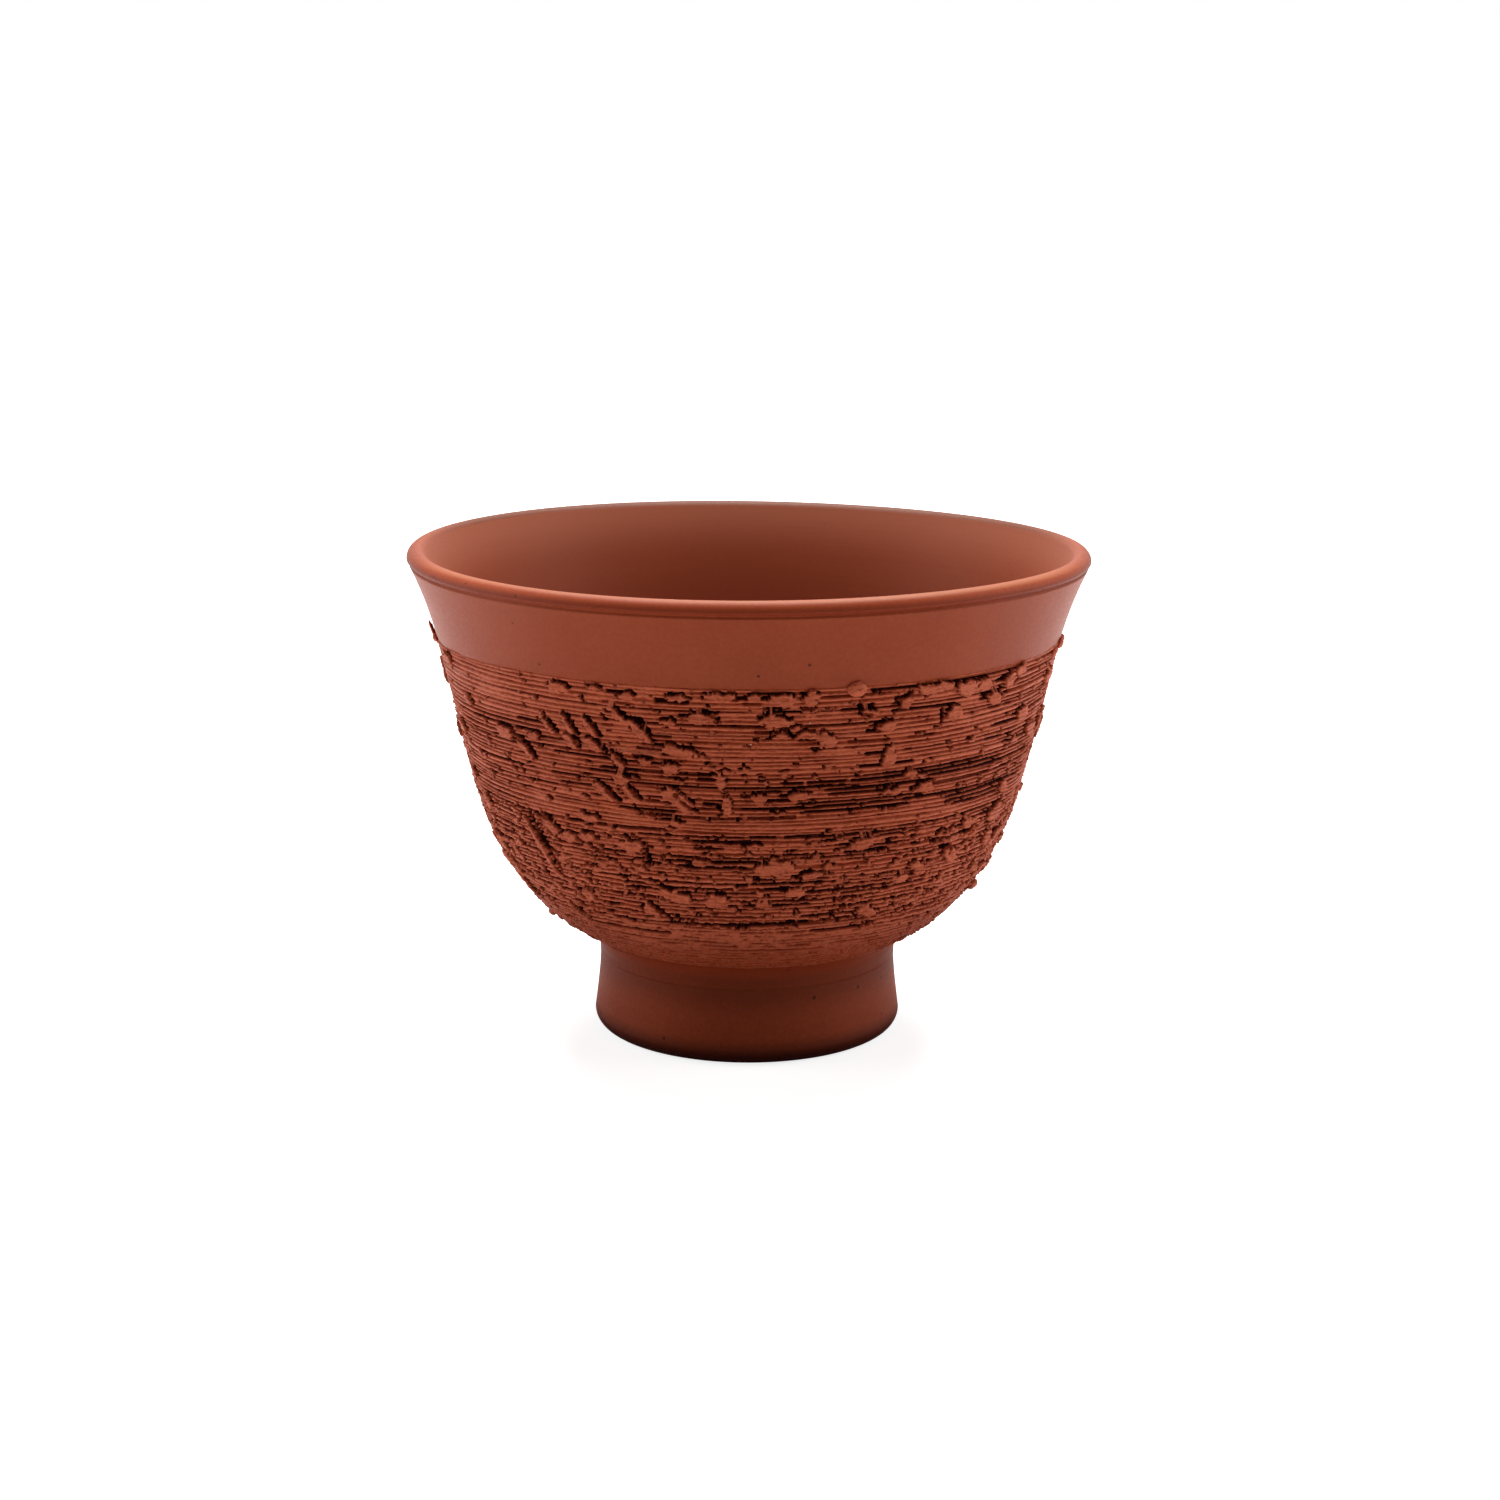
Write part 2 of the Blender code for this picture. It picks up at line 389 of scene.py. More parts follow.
# Torn crumbs: angle round from the front in degrees, height, half width and half height in millimetres,
# and lean in degrees
FRONT_CRUMBS = (
    (-34.2, 52.9, 1.25, 0.85, 0),
    (-26.7, 53.4, 0.7, 0.35, 0),
    (-20.8, 52.8, 1.0, 0.5, 0),
    (-12.1, 52.9, 1.2, 0.45, 0),
    (-4.6, 53.2, 1.9, 0.4, 0),
    (-22.9, 50.2, 1.3, 0.5, -38),
    (-19.6, 48.6, 2.0, 0.6, -44),
    (-7.7, 50.5, 1.9, 0.7, 0),
    (-13.9, 49.7, 0.9, 0.4, 0),
    (-37.9, 47.8, 1.3, 0.5, -50),
    (-33.2, 48.2, 1.4, 0.5, -55),
    (-28.6, 48.2, 1.8, 0.45, -58),
    (-33.0, 45.9, 1.1, 0.6, -40),
    (-28.2, 45.9, 1.4, 0.5, -28),
    (-42.5, 45.9, 1.0, 0.5, 0),
    (-50.4, 45.4, 1.3, 0.8, 0),
    (-45.2, 43.9, 2.0, 0.55, -42),
    (-12.3, 46.0, 2.2, 0.65, -15),
    (-23.8, 44.3, 1.1, 0.5, -40),
    (-18.3, 44.4, 0.9, 0.45, 0),
    (-13.8, 43.7, 1.1, 0.7, 0),
    (-23.7, 41.9, 1.1, 0.7, -20),
    (-4.8, 42.2, 1.2, 0.5, -85),
    (-27.6, 40.0, 1.8, 0.6, -38),
    (-21.9, 40.1, 1.25, 0.45, -42),
    (-14.1, 40.4, 1.0, 0.9, 0),
    (-11.8, 39.2, 1.4, 0.8, -45),
    (-3.8, 39.2, 1.3, 0.6, -85),
    (-31.7, 36.1, 1.5, 0.5, -10),
    (-13.3, 36.6, 0.8, 0.4, -20),
    (-47.6, 30.6, 3.6, 0.45, -64),
    (-42.6, 34.0, 1.7, 0.7, -35),
    (-37.9, 32.8, 1.5, 0.6, 0),
    (-33.0, 33.4, 1.2, 0.5, 0),
    (-22.9, 32.9, 1.7, 0.8, 0),
    (-22.1, 30.3, 0.9, 0.8, 0),
    (-9.2, 31.4, 1.1, 0.5, 0),
    (-15.5, 26.4, 2.0, 0.7, -15),
    (-6.5, 26.0, 1.4, 0.9, 0),
    (-37.3, 24.8, 0.9, 0.8, 0),
    (-21.3, 23.9, 1.2, 0.7, -40),
    (-43.8, 21.3, 1.4, 0.6, -40),
    (1.0, 53.2, 0.9, 0.4, 0),
    (5.8, 52.8, 1.4, 0.8, 0),
    (10.6, 53.0, 0.9, 1.0, 0),
    (10.4, 51.2, 0.9, 0.5, 0),
    (4.8, 50.1, 2.1, 0.85, -12),
    (5.8, 48.4, 1.1, 0.45, 0),
    (10.4, 48.3, 1.2, 0.5, -10),
    (13.6, 47.6, 1.2, 0.9, -30),
    (21.0, 50.7, 1.1, 0.5, -15),
    (24.6, 48.8, 1.2, 0.7, 0),
    (27.9, 51.7, 0.8, 0.8, 0),
    (33.0, 53.1, 3.6, 0.7, 0),
    (38.8, 49.4, 1.1, 0.9, 0),
    (41.0, 52.5, 1.8, 1.1, 0),
    (45.4, 52.5, 1.2, 0.8, 0),
    (48.8, 50.4, 1.4, 0.8, -30),
    (52.7, 52.3, 1.0, 1.0, 0),
    (55.8, 53.2, 1.1, 0.8, 0),
    (25.8, 44.8, 0.9, 1.5, 0),
    (31.2, 42.2, 0.9, 0.5, 0),
    (9.2, 40.3, 1.2, 0.6, 0),
    (2.3, 40.1, 1.0, 0.6, 0),
    (27.7, 40.1, 1.1, 0.5, 0),
    (34.6, 40.1, 1.4, 0.6, 0),
    (22.7, 33.4, 1.4, 0.7, 0),
    (5.8, 30.7, 2.3, 0.9, 0),
    (12.3, 29.5, 0.9, 0.5, 0),
    (38.2, 28.6, 1.6, 0.7, -35),
    (33.8, 27.8, 1.2, 0.6, 0),
    (46.9, 29.5, 1.9, 0.8, -40),
    (49.6, 33.6, 1.0, 0.6, -20),
    (53.0, 31.9, 1.0, 0.7, -80),
    (10.4, 27.2, 1.1, 0.7, 0),
    (3.5, 25.4, 1.0, 0.6, -20),
    (27.7, 23.4, 1.5, 0.7, -25),
    (30.0, 20.7, 1.1, 0.5, 0),
)

# Furrows that a tooth cut deep: height in millimetres, and the angles in degrees where each starts and ends
FRONT_FURROWS = (
    (53.7, 22.0, 55.0),
    (53.5, 2.2, 5.5),
    (52.8, -14.8, -11.0),
    (51.7, 3.7, 6.2),
    (51.1, 4.0, 9.8),
    (50.8, -10.8, -8.5),
    (50.4, 26.5, 37.3),
    (47.5, -45.0, -39.0),
    (47.5, -16.8, -14.5),
    (47.5, 9.8, 12.2),
    (46.7, -14.5, -10.5),
    (46.4, 12.2, 14.5),
    (46.3, -51.7, -41.5),
    (45.9, -41.8, -34.2),
    (45.9, -18.8, -15.0),
    (45.2, -14.5, -11.5),
    (44.5, -36.5, -25.0),
    (44.4, -21.2, -14.5),
    (43.4, 21.5, 30.2),
    (43.3, -26.5, -18.0),
    (42.9, -21.8, -6.8),
    (42.4, 26.0, 29.8),
    (42.2, 6.8, 17.0),
    (41.8, 20.2, 30.5),
    (42.3, 33.0, 48.0),
    (41.8, 34.5, 55.0),
    (41.2, 36.0, 56.0),
    (40.6, 33.5, 45.0),
    (41.5, -38.0, 17.5),
    (40.8, 3.2, 5.5),
    (40.8, 15.0, 36.0),
    (40.2, -36.0, -30.0),
    (40.1, 15.8, 26.0),
    (40.1, 38.8, 51.8),
    (39.9, 3.7, 9.5),
    (39.3, 9.8, 32.2),
    (38.6, 10.8, 37.2),
    (38.3, -23.5, -14.0),
    (38.7, 37.5, 58.0),
    (38.2, 41.2, 67.0),
    (36.8, 44.0, 62.0),
    (37.9, 11.0, 31.0),
    (37.7, -19.5, 7.8),
    (37.4, 42.2, 64.8),
    (35.0, 1.5, 4.2),
    (34.7, 16.0, 34.8),
    (34.5, 8.2, 15.2),
    (34.1, -7.5, 0.0),
    (33.2, 24.8, 32.5),
    (32.9, -9.2, -5.8),
    (32.6, 8.2, 10.8),
    (32.5, 20.5, 27.0),
    (31.4, -14.8, 2.0),
    (30.7, -13.2, -9.5),
    (28.8, 2.5, 4.8),
    (28.7, 11.8, 15.5),
    (28.1, 2.2, 11.0),
    (27.3, -15.5, 0.5),
    (27.3, 13.5, 26.8),
    (27.2, -23.5, -21.8),
    (26.2, 20.8, 40.0),
    (26.0, -52.0, -44.0),
    (25.8, 4.2, 23.0),
    (25.7, -29.2, -17.2),
    (25.1, 0.5, 12.5),
    (23.6, -16.0, 0.8),
    (23.3, -38.8, -24.8),
    (23.3, 13.2, 19.0),
    (22.0, -37.0, -14.0),
    (22.7, 27.0, 40.0),
    (21.8, 44.2, 51.8),
    (20.6, 16.5, 28.0),
    (20.3, -42.2, -20.2),
)

# Tears through the coat: angle and height where each starts and ends, and half its width in millimetres
FRONT_TEARS = (
    (-48.2, 34.6, -43.2, 27.8, 0.40),
    (-45.0, 35.0, -41.5, 34.8, 0.35),
    (-37.5, 48.3, -36.2, 47.0, 0.28),
    (-33.2, 49.0, -31.5, 47.2, 0.28),
    (-32.5, 46.5, -31.5, 45.4, 0.28),
    (-29.0, 49.5, -26.8, 47.2, 0.26),
    (-27.5, 46.5, -26.3, 45.6, 0.28),
    (-26.0, 49.9, -25.2, 49.4, 0.28),
    (-22.8, 50.7, -21.8, 50.4, 0.32),
    (-21.0, 49.9, -18.8, 49.8, 0.28),
    (-18.8, 49.8, -17.5, 48.4, 0.28),
    (-47.8, 45.0, -43.8, 44.4, 0.26),
    (-43.8, 44.4, -42.5, 43.0, 0.26),
    (-52.2, 42.3, -50.3, 41.4, 0.26),
    (-48.0, 41.6, -47.0, 40.5, 0.26),
    (-24.0, 44.9, -22.5, 44.0, 0.26),
    (-26.5, 40.1, -24.2, 39.0, 0.32),
    (-22.0, 40.8, -20.2, 39.7, 0.28),
    (-13.2, 40.3, -10.5, 38.6, 0.30),
    (-7.8, 51.4, -5.0, 50.4, 0.30),
    (-5.5, 38.9, -4.8, 38.5, 0.28),
    (3.7, 48.0, 4.8, 48.7, 0.26),
    (4.8, 48.8, 6.8, 48.8, 0.26),
    (6.8, 48.8, 7.8, 48.0, 0.26),
    (19.2, 51.7, 21.5, 51.7, 0.32),
    (19.5, 50.7, 21.5, 50.4, 0.28),
    (21.5, 49.0, 23.2, 49.1, 0.28),
    (21.2, 48.4, 23.2, 48.3, 0.28),
    (26.0, 52.1, 28.8, 52.9, 0.30),
    (31.5, 40.1, 33.2, 40.3, 0.30),
    (35.9, 50.0, 36.4, 48.4, 0.32),
    (45.5, 51.3, 47.5, 51.0, 0.32),
    (50.2, 51.8, 50.4, 50.8, 0.30),
    (54.0, 52.6, 54.4, 51.6, 0.30),
    (-20.2, 32.7, -19.8, 31.2, 0.32),
    (-21.0, 30.4, -20.5, 29.8, 0.30),
    (-23.5, 30.7, -22.0, 30.5, 0.30),
    (-18.8, 28.3, -15.8, 27.2, 0.28),
    (-20.8, 24.8, -17.5, 22.6, 0.32),
    (-46.0, 22.0, -41.8, 20.7, 0.26),
    (10.8, 29.4, 11.2, 30.0, 0.28),
    (11.2, 30.0, 12.8, 30.1, 0.28),
    (40.8, 33.1, 42.0, 33.7, 0.30),
    (52.0, 31.9, 53.5, 32.9, 0.28),
    (43.0, 30.9, 46.2, 30.8, 0.28),
    (46.2, 30.8, 46.2, 29.8, 0.30),
    (44.0, 20.7, 47.0, 20.5, 0.30),
    (-14.0, 22.0, 6.0, 22.3, 0.36),
    (6.0, 22.3, 27.0, 22.7, 0.34),
)

# Loose crumbs that stand off the coat: angle and height, half width, half height and half depth, how far
# the middle stands off, and how far the crumb leans sideways and tips outwards, in degrees and millimetres
LOOSE_CRUMBS = (
    (18.3, 53.9, 1.25, 0.95, 0.70, 0.10, 0, 0),
    (-84.0, 54.2, 1.2, 1.7, 0.24, 0.20, 0, 6),
    (-81.0, 53.9, 1.2, 0.5, 0.35, 0.10, 0, 0),
    (73.5, 21.6, 1.3, 0.8, 0.50, 0.25, 0, 10),
    (77.0, 54.0, 1.2, 0.7, 0.45, 0.10, 0, 0),
    (80.0, 54.2, 0.9, 0.6, 0.40, 0.0, 20, 0),
    (72.0, 53.6, 0.9, 0.6, 0.40, 0.10, 0, 0),
    (-70.0, 17.6, 0.9, 0.5, 0.35, 0.05, 0, 0),
)

# Loose crumbs on the back: how many, and the ranges of their places, widths and leans. About half of them
# lie on the coat's upper edge.
OTHER_LOOSE = 22
LOOSE_SPAN = (95.0, 265.0)
LOOSE_HEIGHTS = (24.0, 52.0)
LOOSE_ON_EDGE = 53.7
LOOSE_WIDTHS = (0.6, 1.1)
LOOSE_LEANS = (-40.0, 40.0)

# Their height and depth as shares of the width, and how far they stand off in millimetres
LOOSE_TALL = 0.7
LOOSE_DEEP = 0.45
LOOSE_OFF = 0.1

# How far any loose crumb's surface goes in and out, in millimetres, and how bright it is
LOOSE_ROUGHNESS = 0.45
LOOSE_BRIGHT = 0.8

# Torn crumbs beyond the front, which spans so many degrees each way: how many, and the ranges of their
# heights, widths, shares of height to width and leans
FRONT_SPAN = 60.0
OTHER_CRUMBS = 150
OTHER_HEIGHTS = (21.0, 53.5)
OTHER_WIDTHS = (0.8, 1.8)
OTHER_SHARES = (0.4, 0.75)
OTHER_LEANS = (-50.0, 10.0)

# Marks of the cuts: how close together their points lie, half a furrow's width in millimetres, and the
# number that a tear's points have instead of a furrow's
MARK_SPACING = 0.3 * MM
FURROW_HALF_WIDTH = 0.8
NO_FURROW = -1.0

# How many degrees of furrow, at most, the comb left open behind a crumb that it dragged along
DRAG = 4.0

# Bits that torn clay breaks into: width and height in millimetres
BIT_WIDTH = 0.65
BIT_HEIGHT = 0.48


def point_cloud(name, places, columns):
    """An object of loose points, with a named number for each point in every column."""
    mesh = bpy.data.meshes.new(name)
    mesh.from_pydata(places, [], [])
    for title, values in columns.items():
        mesh.attributes.new(title, "FLOAT", "POINT").data.foreach_set("value", values)
    cloud = bpy.data.objects.new(name, mesh)
    bpy.context.scene.collection.objects.link(cloud)
    return cloud


def torn_crumbs():
    """The torn crumbs in front, and others like them round the sides and back."""
    draw = random.Random(CRUMB_SEED)
    crumbs = list(FRONT_CRUMBS)
    for _ in range(OTHER_CRUMBS):
        angle = draw.uniform(FRONT_SPAN, 360.0 - FRONT_SPAN)
        height = draw.uniform(*OTHER_HEIGHTS)
        width = draw.uniform(*OTHER_WIDTHS)
        tall = width * draw.uniform(*OTHER_SHARES)
        crumbs.append((angle, height, width, tall, draw.uniform(*OTHER_LEANS)))
    return crumbs


def crumb_marks(crumbs):
    """A point for each torn crumb, with its size and lean."""
    places = [on_cup(angle, height * MM) for angle, height, *_ in crumbs]
    columns = {
        "half width": [crumb[2] for crumb in crumbs],
        "half height": [crumb[3] for crumb in crumbs],
        "lean": [math.radians(crumb[4]) for crumb in crumbs],
    }
    return point_cloud("crumb_marks", places, columns)


def loose_marks():
    """A point for each loose crumb, with its size and its turn in space."""
    draw = random.Random(CRUMB_SEED)
    crumbs = list(LOOSE_CRUMBS)
    for _ in range(OTHER_LOOSE):
        angle = draw.uniform(*LOOSE_SPAN)
        height = draw.choice((LOOSE_ON_EDGE, draw.uniform(*LOOSE_HEIGHTS)))
        width = draw.uniform(*LOOSE_WIDTHS)
        lean = draw.uniform(*LOOSE_LEANS)
        crumbs.append((angle, height, width, width * LOOSE_TALL, width * LOOSE_DEEP, LOOSE_OFF, lean, 0))
    places, sizes, turns = [], [], []
    for angle, height, width, tall, deep, off, lean, tip in crumbs:
        travel = travel_to(height * MM)
        slope = side(travel + MM) - side(travel)
        back = math.atan2(slope.x, slope.y) + math.radians(tip)
        outward = side(travel, -off * MM)
        turn = Matrix.Rotation(math.radians(angle), 3, "Z")
        places.append(turn @ Vector((0.0, -outward.x, outward.y)))
        tilt = Matrix.Rotation(back, 3, "X") @ Matrix.Rotation(math.radians(lean), 3, "Y")
        turns.append((turn @ tilt).to_euler())
        sizes.append((width * MM, deep * MM, tall * MM))
    cloud = point_cloud("loose_marks", places, {})
    for title, values in (("half size", sizes), ("turn", turns)):
        attribute = cloud.data.attributes.new(title, "FLOAT_VECTOR", "POINT")
        attribute.data.foreach_set("vector", np.array(values).ravel())
    return cloud


LOOSE_INPUTS = (
    ("Loose marks", "Object", None),
    ("Clay", "Material", None),
    ("Roughness", "Float", LOOSE_ROUGHNESS),
)


def loose_crumb_tree():
    """Node tree for the loose crumbs: a rough lump of clay at each mark."""
    tree, given = shape_tree("Loose crumbs", LOOSE_INPUTS)
    ball = put(tree, "GeometryNodeMeshIcoSphere", {"Radius": 1.0, "Subdivisions": 4})
    turn = put(tree, "FunctionNodeEulerToRotation", {"Euler": named(tree, "turn", "FLOAT_VECTOR")})
    inputs = {
        "Points": points_of(given["Loose marks"]),
        "Instance": out(ball, "Mesh"),
        "Rotation": out(turn),
        "Scale": named(tree, "half size", "FLOAT_VECTOR"),
    }
    lumps = out(put(tree, "GeometryNodeInstanceOnPoints", inputs))
    lumps = out(put(tree, "GeometryNodeRealizeInstances", {"Geometry": lumps}))
    spot = in_millimetres(out(put(tree, "GeometryNodeInputPosition")))
    rough = (noise(spot, 0.8, 3.0, 0.6) - 0.5) * given["Roughness"] * MM
    offset = scaled(out(put(tree, "GeometryNodeInputNormal"), "Normal"), rough)
    lumps = out(put(tree, "GeometryNodeSetPosition", {"Geometry": lumps, "Offset": offset}))
    end_shape(stored(lumps, "bright", LOOSE_BRIGHT), given["Clay"])
    return tree


def cut_marks(crumbs):
    """Points along the deep furrows and the tears. A tear's points belong to no furrow."""
    draw = random.Random(CRUMB_SEED)
    places, furrows, widths = [], [], []

    def add_run(start, end, furrow, half_width):
        length = (on_cup(*end) - on_cup(*start)).length
        for share in np.linspace(0.0, 1.0, 2 + int(length / MARK_SPACING)):
            angle, height = (first + share * (last - first) for first, last in zip(start, end))
            places.append(on_cup(angle, height))
            furrows.append(furrow)
            widths.append(half_width)

    def add_furrow(height, first, last):
        """A cut along the furrow nearest this height, in two runs so that each stays close to its chord."""
        furrow = min(range(FURROWS), key=lambda line: abs(side(furrow_travel(line)).y - height * MM))
        level = side(furrow_travel(furrow)).y
        middle = (first + last) / 2
        add_run((first, level), (middle, level), furrow, FURROW_HALF_WIDTH)
        add_run((middle, level), (last, level), furrow, FURROW_HALF_WIDTH)

    for height, first, last in FRONT_FURROWS:
        add_furrow(height, first, last)
    for angle, height, _, half_height, _ in crumbs:
        add_furrow(height + half_height / 2, angle - draw.uniform(0.0, DRAG), angle)
    for first, high, last, low, half_width in FRONT_TEARS:
        add_run((first, high * MM), (last, low * MM), NO_FURROW, half_width)
    return point_cloud("cut_marks", places, {"furrow": furrows, "half width": widths})


# The combed coat


# Depth of furrows cut by chance, of open ones, of pits beside torn plates and of tears, in millimetres
CHANCE_DEPTH = 0.6
OPEN_DEPTH = 0.65
PIT_DEPTH = 0.8
TEAR_DEPTH = 0.8

# How far a pit lies below its plate, and aside of it at the cup's sides, in millimetres. The pits are real
# hollows, and their near-black colour and their sideways shift are painted shadow, thrown as the side lamps
# would throw the crumbs' shadows
PIT_BELOW = 0.26
PIT_ASIDE = 0.55

# How far plates and crumbs stand up, a crumb more at its top, how much the coat swells, and how far
# it drops at its upper edge, in millimetres
PLATE_RISE = 0.14
CRUMB_RISE = 0.1
CRUMB_LEAN = 0.2
SWELL = 0.3
EDGE_DROP = 0.45


class Marks:
    """Looks up, for each place on the coat, the nearest point of a cloud."""

    def __init__(self, geometry, place):
        self.tree = geometry.tree
        self.geometry = geometry
        inputs = {"Geometry": geometry, "Sample Position": place}
        self.nearest = out(put(self.tree, "GeometryNodeSampleNearest", inputs))

    def look_up(self, value, kind):
        inputs = {"Geometry": self.geometry, "Value": value, "Index": self.nearest}
        return out(put(self.tree, "GeometryNodeSampleIndex", inputs, data_type=kind))

    def number(self, name):
        return self.look_up(named(self.tree, name), "FLOAT")

    def spot(self):
        return in_millimetres(self.look_up(out(put(self.tree, "GeometryNodeInputPosition")), "FLOAT_VECTOR"))


def middle_of_bit(spot):
    """The middle of the small bit of torn clay that a place belongs to, and the place, crinkled."""
    tree = spot.tree
    crinkle = out(put(tree, "ShaderNodeTexNoise", {"Vector": spot, "Scale": 2.0, "Detail": 1.0}), "Color")
    crinkle = shifted(crinkle, (-0.5, -0.5, -0.5))
    spot = shifted(spot, scaled(crinkle, 0.6))
    bits = put(tree, "ShaderNodeTexVoronoi", {"Vector": stretched(spot, BIT_WIDTH, BIT_HEIGHT), "Scale": 1.0})
    return stretched(out(bits, "Position"), 1.0 / BIT_WIDTH, 1.0 / BIT_HEIGHT), spot


def torn_clay(cloud, spot, density):
    """Whether a bit of clay belongs to a torn plate or to a crumb, and how far up its crumb it is."""
    middle, crinkled = middle_of_bit(spot)
    middle = shifted(scaled(middle, 0.5), scaled(crinkled, 0.5))
    marks = Marks(cloud, scaled(middle, MM))
    centre = marks.spot()
    apart = spot.math("WRAP", around(middle) - around(centre), math.pi, -math.pi)
    right = apart * radius_of(spot)
    above = middle.part("Z") - centre.part("Z")
    lean = marks.number("lean")
    cosine, sine = spot.math("COSINE", lean), spot.math("SINE", lean)
    along = (right * cosine + above * sine) / marks.number("half width")
    over = (above * cosine - right * sine) / marks.number("half height")
    ragged = (noise(crinkled, 1.4, 1.0) - 0.5) * 2.2 + (noise(crinkled, 0.55, 1.0) - 0.5) * 1.4
    crumb = (along * along + over * over + ragged).smooth(1.20, 1.10)
    plate = (noise(stretched(middle, 1.8, 0.75), 1.0, 2.0) + density).smooth(0.615, 0.620)
    return plate.larger(crumb), crumb, over


class Zones:
    """Parts of the coat that differ, 1 inside and 0 outside: heights in millimetres, angles in radians."""

    def __init__(self, spot):
        height, turn = spot.part("Z"), around(spot)
        aside = turn.absolute()
        # Torn small, from the middle down
        self.busy = height.smooth(37.0, 33.5)
        self.low = height.smooth(31.0, 27.0)
        # Nearly smooth, above the heel in front
        self.calm = height.smooth(21.6, 20.6) * (1.0 - aside.smooth(0.5, 0.85) * 0.85)
        # Rubbed, in front above the middle
        rubbed = turn.smooth(-0.18, -0.08) * turn.smooth(0.24, 0.12)
        self.rubbed = rubbed * height.smooth(43.4, 44.4) * height.smooth(48.2, 47.0)
        # Fewer plates, in a strip round the middle
        self.strip = height.smooth(35.0, 35.6) * height.smooth(37.3, 36.8)
        # Long furrows, over that strip
        self.lined = height.smooth(36.5, 38.0) * height.smooth(46.0, 43.5)
        # Little torn, high on the left
        self.soft_left = turn.smooth(-0.45, -0.75) * height.smooth(46.0, 48.5)
        # Combed deep, at the sides and the back
        self.sides = aside.smooth(0.75, 1.05) * (1.0 - self.soft_left)
        # Paler, on the right
        self.pale_right = turn.smooth(0.4, 0.75) * turn.smooth(2.0, 1.5)
        # Where the upper edge lies lower, on the left
        self.low_edge = turn.smooth(-0.75, -1.25) * turn.smooth(-2.2, -1.7)


def along_furrow(spot, furrow, reach, step):
    """Coordinates for a pattern that changes slowly along a furrow and freely from one furrow to the next."""
    return vector(spot.tree, spot.part("X") / reach, spot.part("Y") / reach, furrow * step)


def furrow_depths(spot, zone, line, cuts, near):
    """Depth of the furrows, how open those are that a tooth cut deep, and how far off a furrow a place is."""
    sway = noise(along_furrow(spot, line, 30.0, 0.45), 1.0, 1.0)
    wavy = noise(stretched(spot, 2.5, 1.0), 1.0, 2.0) - 0.5
    line = line + (sway - 0.5) * 1.5 + wavy * (0.15 + zone.busy * 0.35)
    furrow = line.math("ROUND", line)
    teeth = noise(stretched(spot, 0.6, 0.3), 1.0, 3.0, 0.6) - 0.5
    off_furrow = (line - furrow).absolute() + teeth * (0.16 + zone.busy * 0.08)

    own = out(put(spot.tree, "ShaderNodeTexWhiteNoise", {"W": furrow}, noise_dimensions="1D"), "Value")
    long_run = noise(along_furrow(spot, furrow, 15.0, 3.7), 1.0)
    short_run = noise(along_furrow(spot, furrow, 2.6, 5.3), 1.0, 3.0)
    chance = zone.busy.blend(long_run * 0.7 + short_run * 0.3, long_run * 0.5 + short_run * 0.5)
    chance = chance + own * 0.16 - 0.08 + zone.busy * 0.04 + zone.low * 0.01 + zone.sides * 0.09
    often = 0.25 + zone.lined * 0.3 + zone.busy * 0.4 + zone.low * 0.15 + zone.sides * 0.75
    by_chance = chance.smooth(0.57, 0.60) * often.clamped()
    by_chance = by_chance * (1.0 - zone.soft_left * 0.8) * (1.0 - zone.calm * 0.8) * (1.0 - zone.rubbed)
    deep = off_furrow.smooth(0.36, 0.22) * by_chance

    wiped = noise(stretched(spot, 14.0, 3.0), 1.0, 1.0).smooth(0.52, 0.66)
    shallow = own * 0.18 + short_run * 0.38 - 0.03 + zone.busy * 0.02 + zone.low * 0.09 + zone.sides * 0.20
    shallow = shallow * (1.0 - wiped.larger(zone.rubbed * 0.5) * 0.42)
    shallow = shallow * (1.0 - zone.calm * (1.0 - short_run.smooth(0.44, 0.57)))
    groove = off_furrow.smooth(0.38, 0.04) * shallow + deep * CHANCE_DEPTH

    marked = cuts.number("furrow")
    in_marked = marked.math("COMPARE", marked, furrow, 0.5) * near.smooth(1.0, 0.6)
    in_marked = in_marked * short_run.smooth(0.26, 0.32)
    return groove, off_furrow.smooth(0.46, 0.32) * in_marked, off_furrow


def torn_open(spot, cuts, near):
    """1 where a tear goes through the coat."""
    ragged_reach = near + (noise(spot, 0.8, 2.0) - 0.5) * 0.7
    marked = cuts.number("furrow")
    tears = (ragged_reach / cuts.number("half width")).smooth(1.1, 0.7)
    return tears * marked.math("LESS_THAN", marked, NO_FURROW / 2)


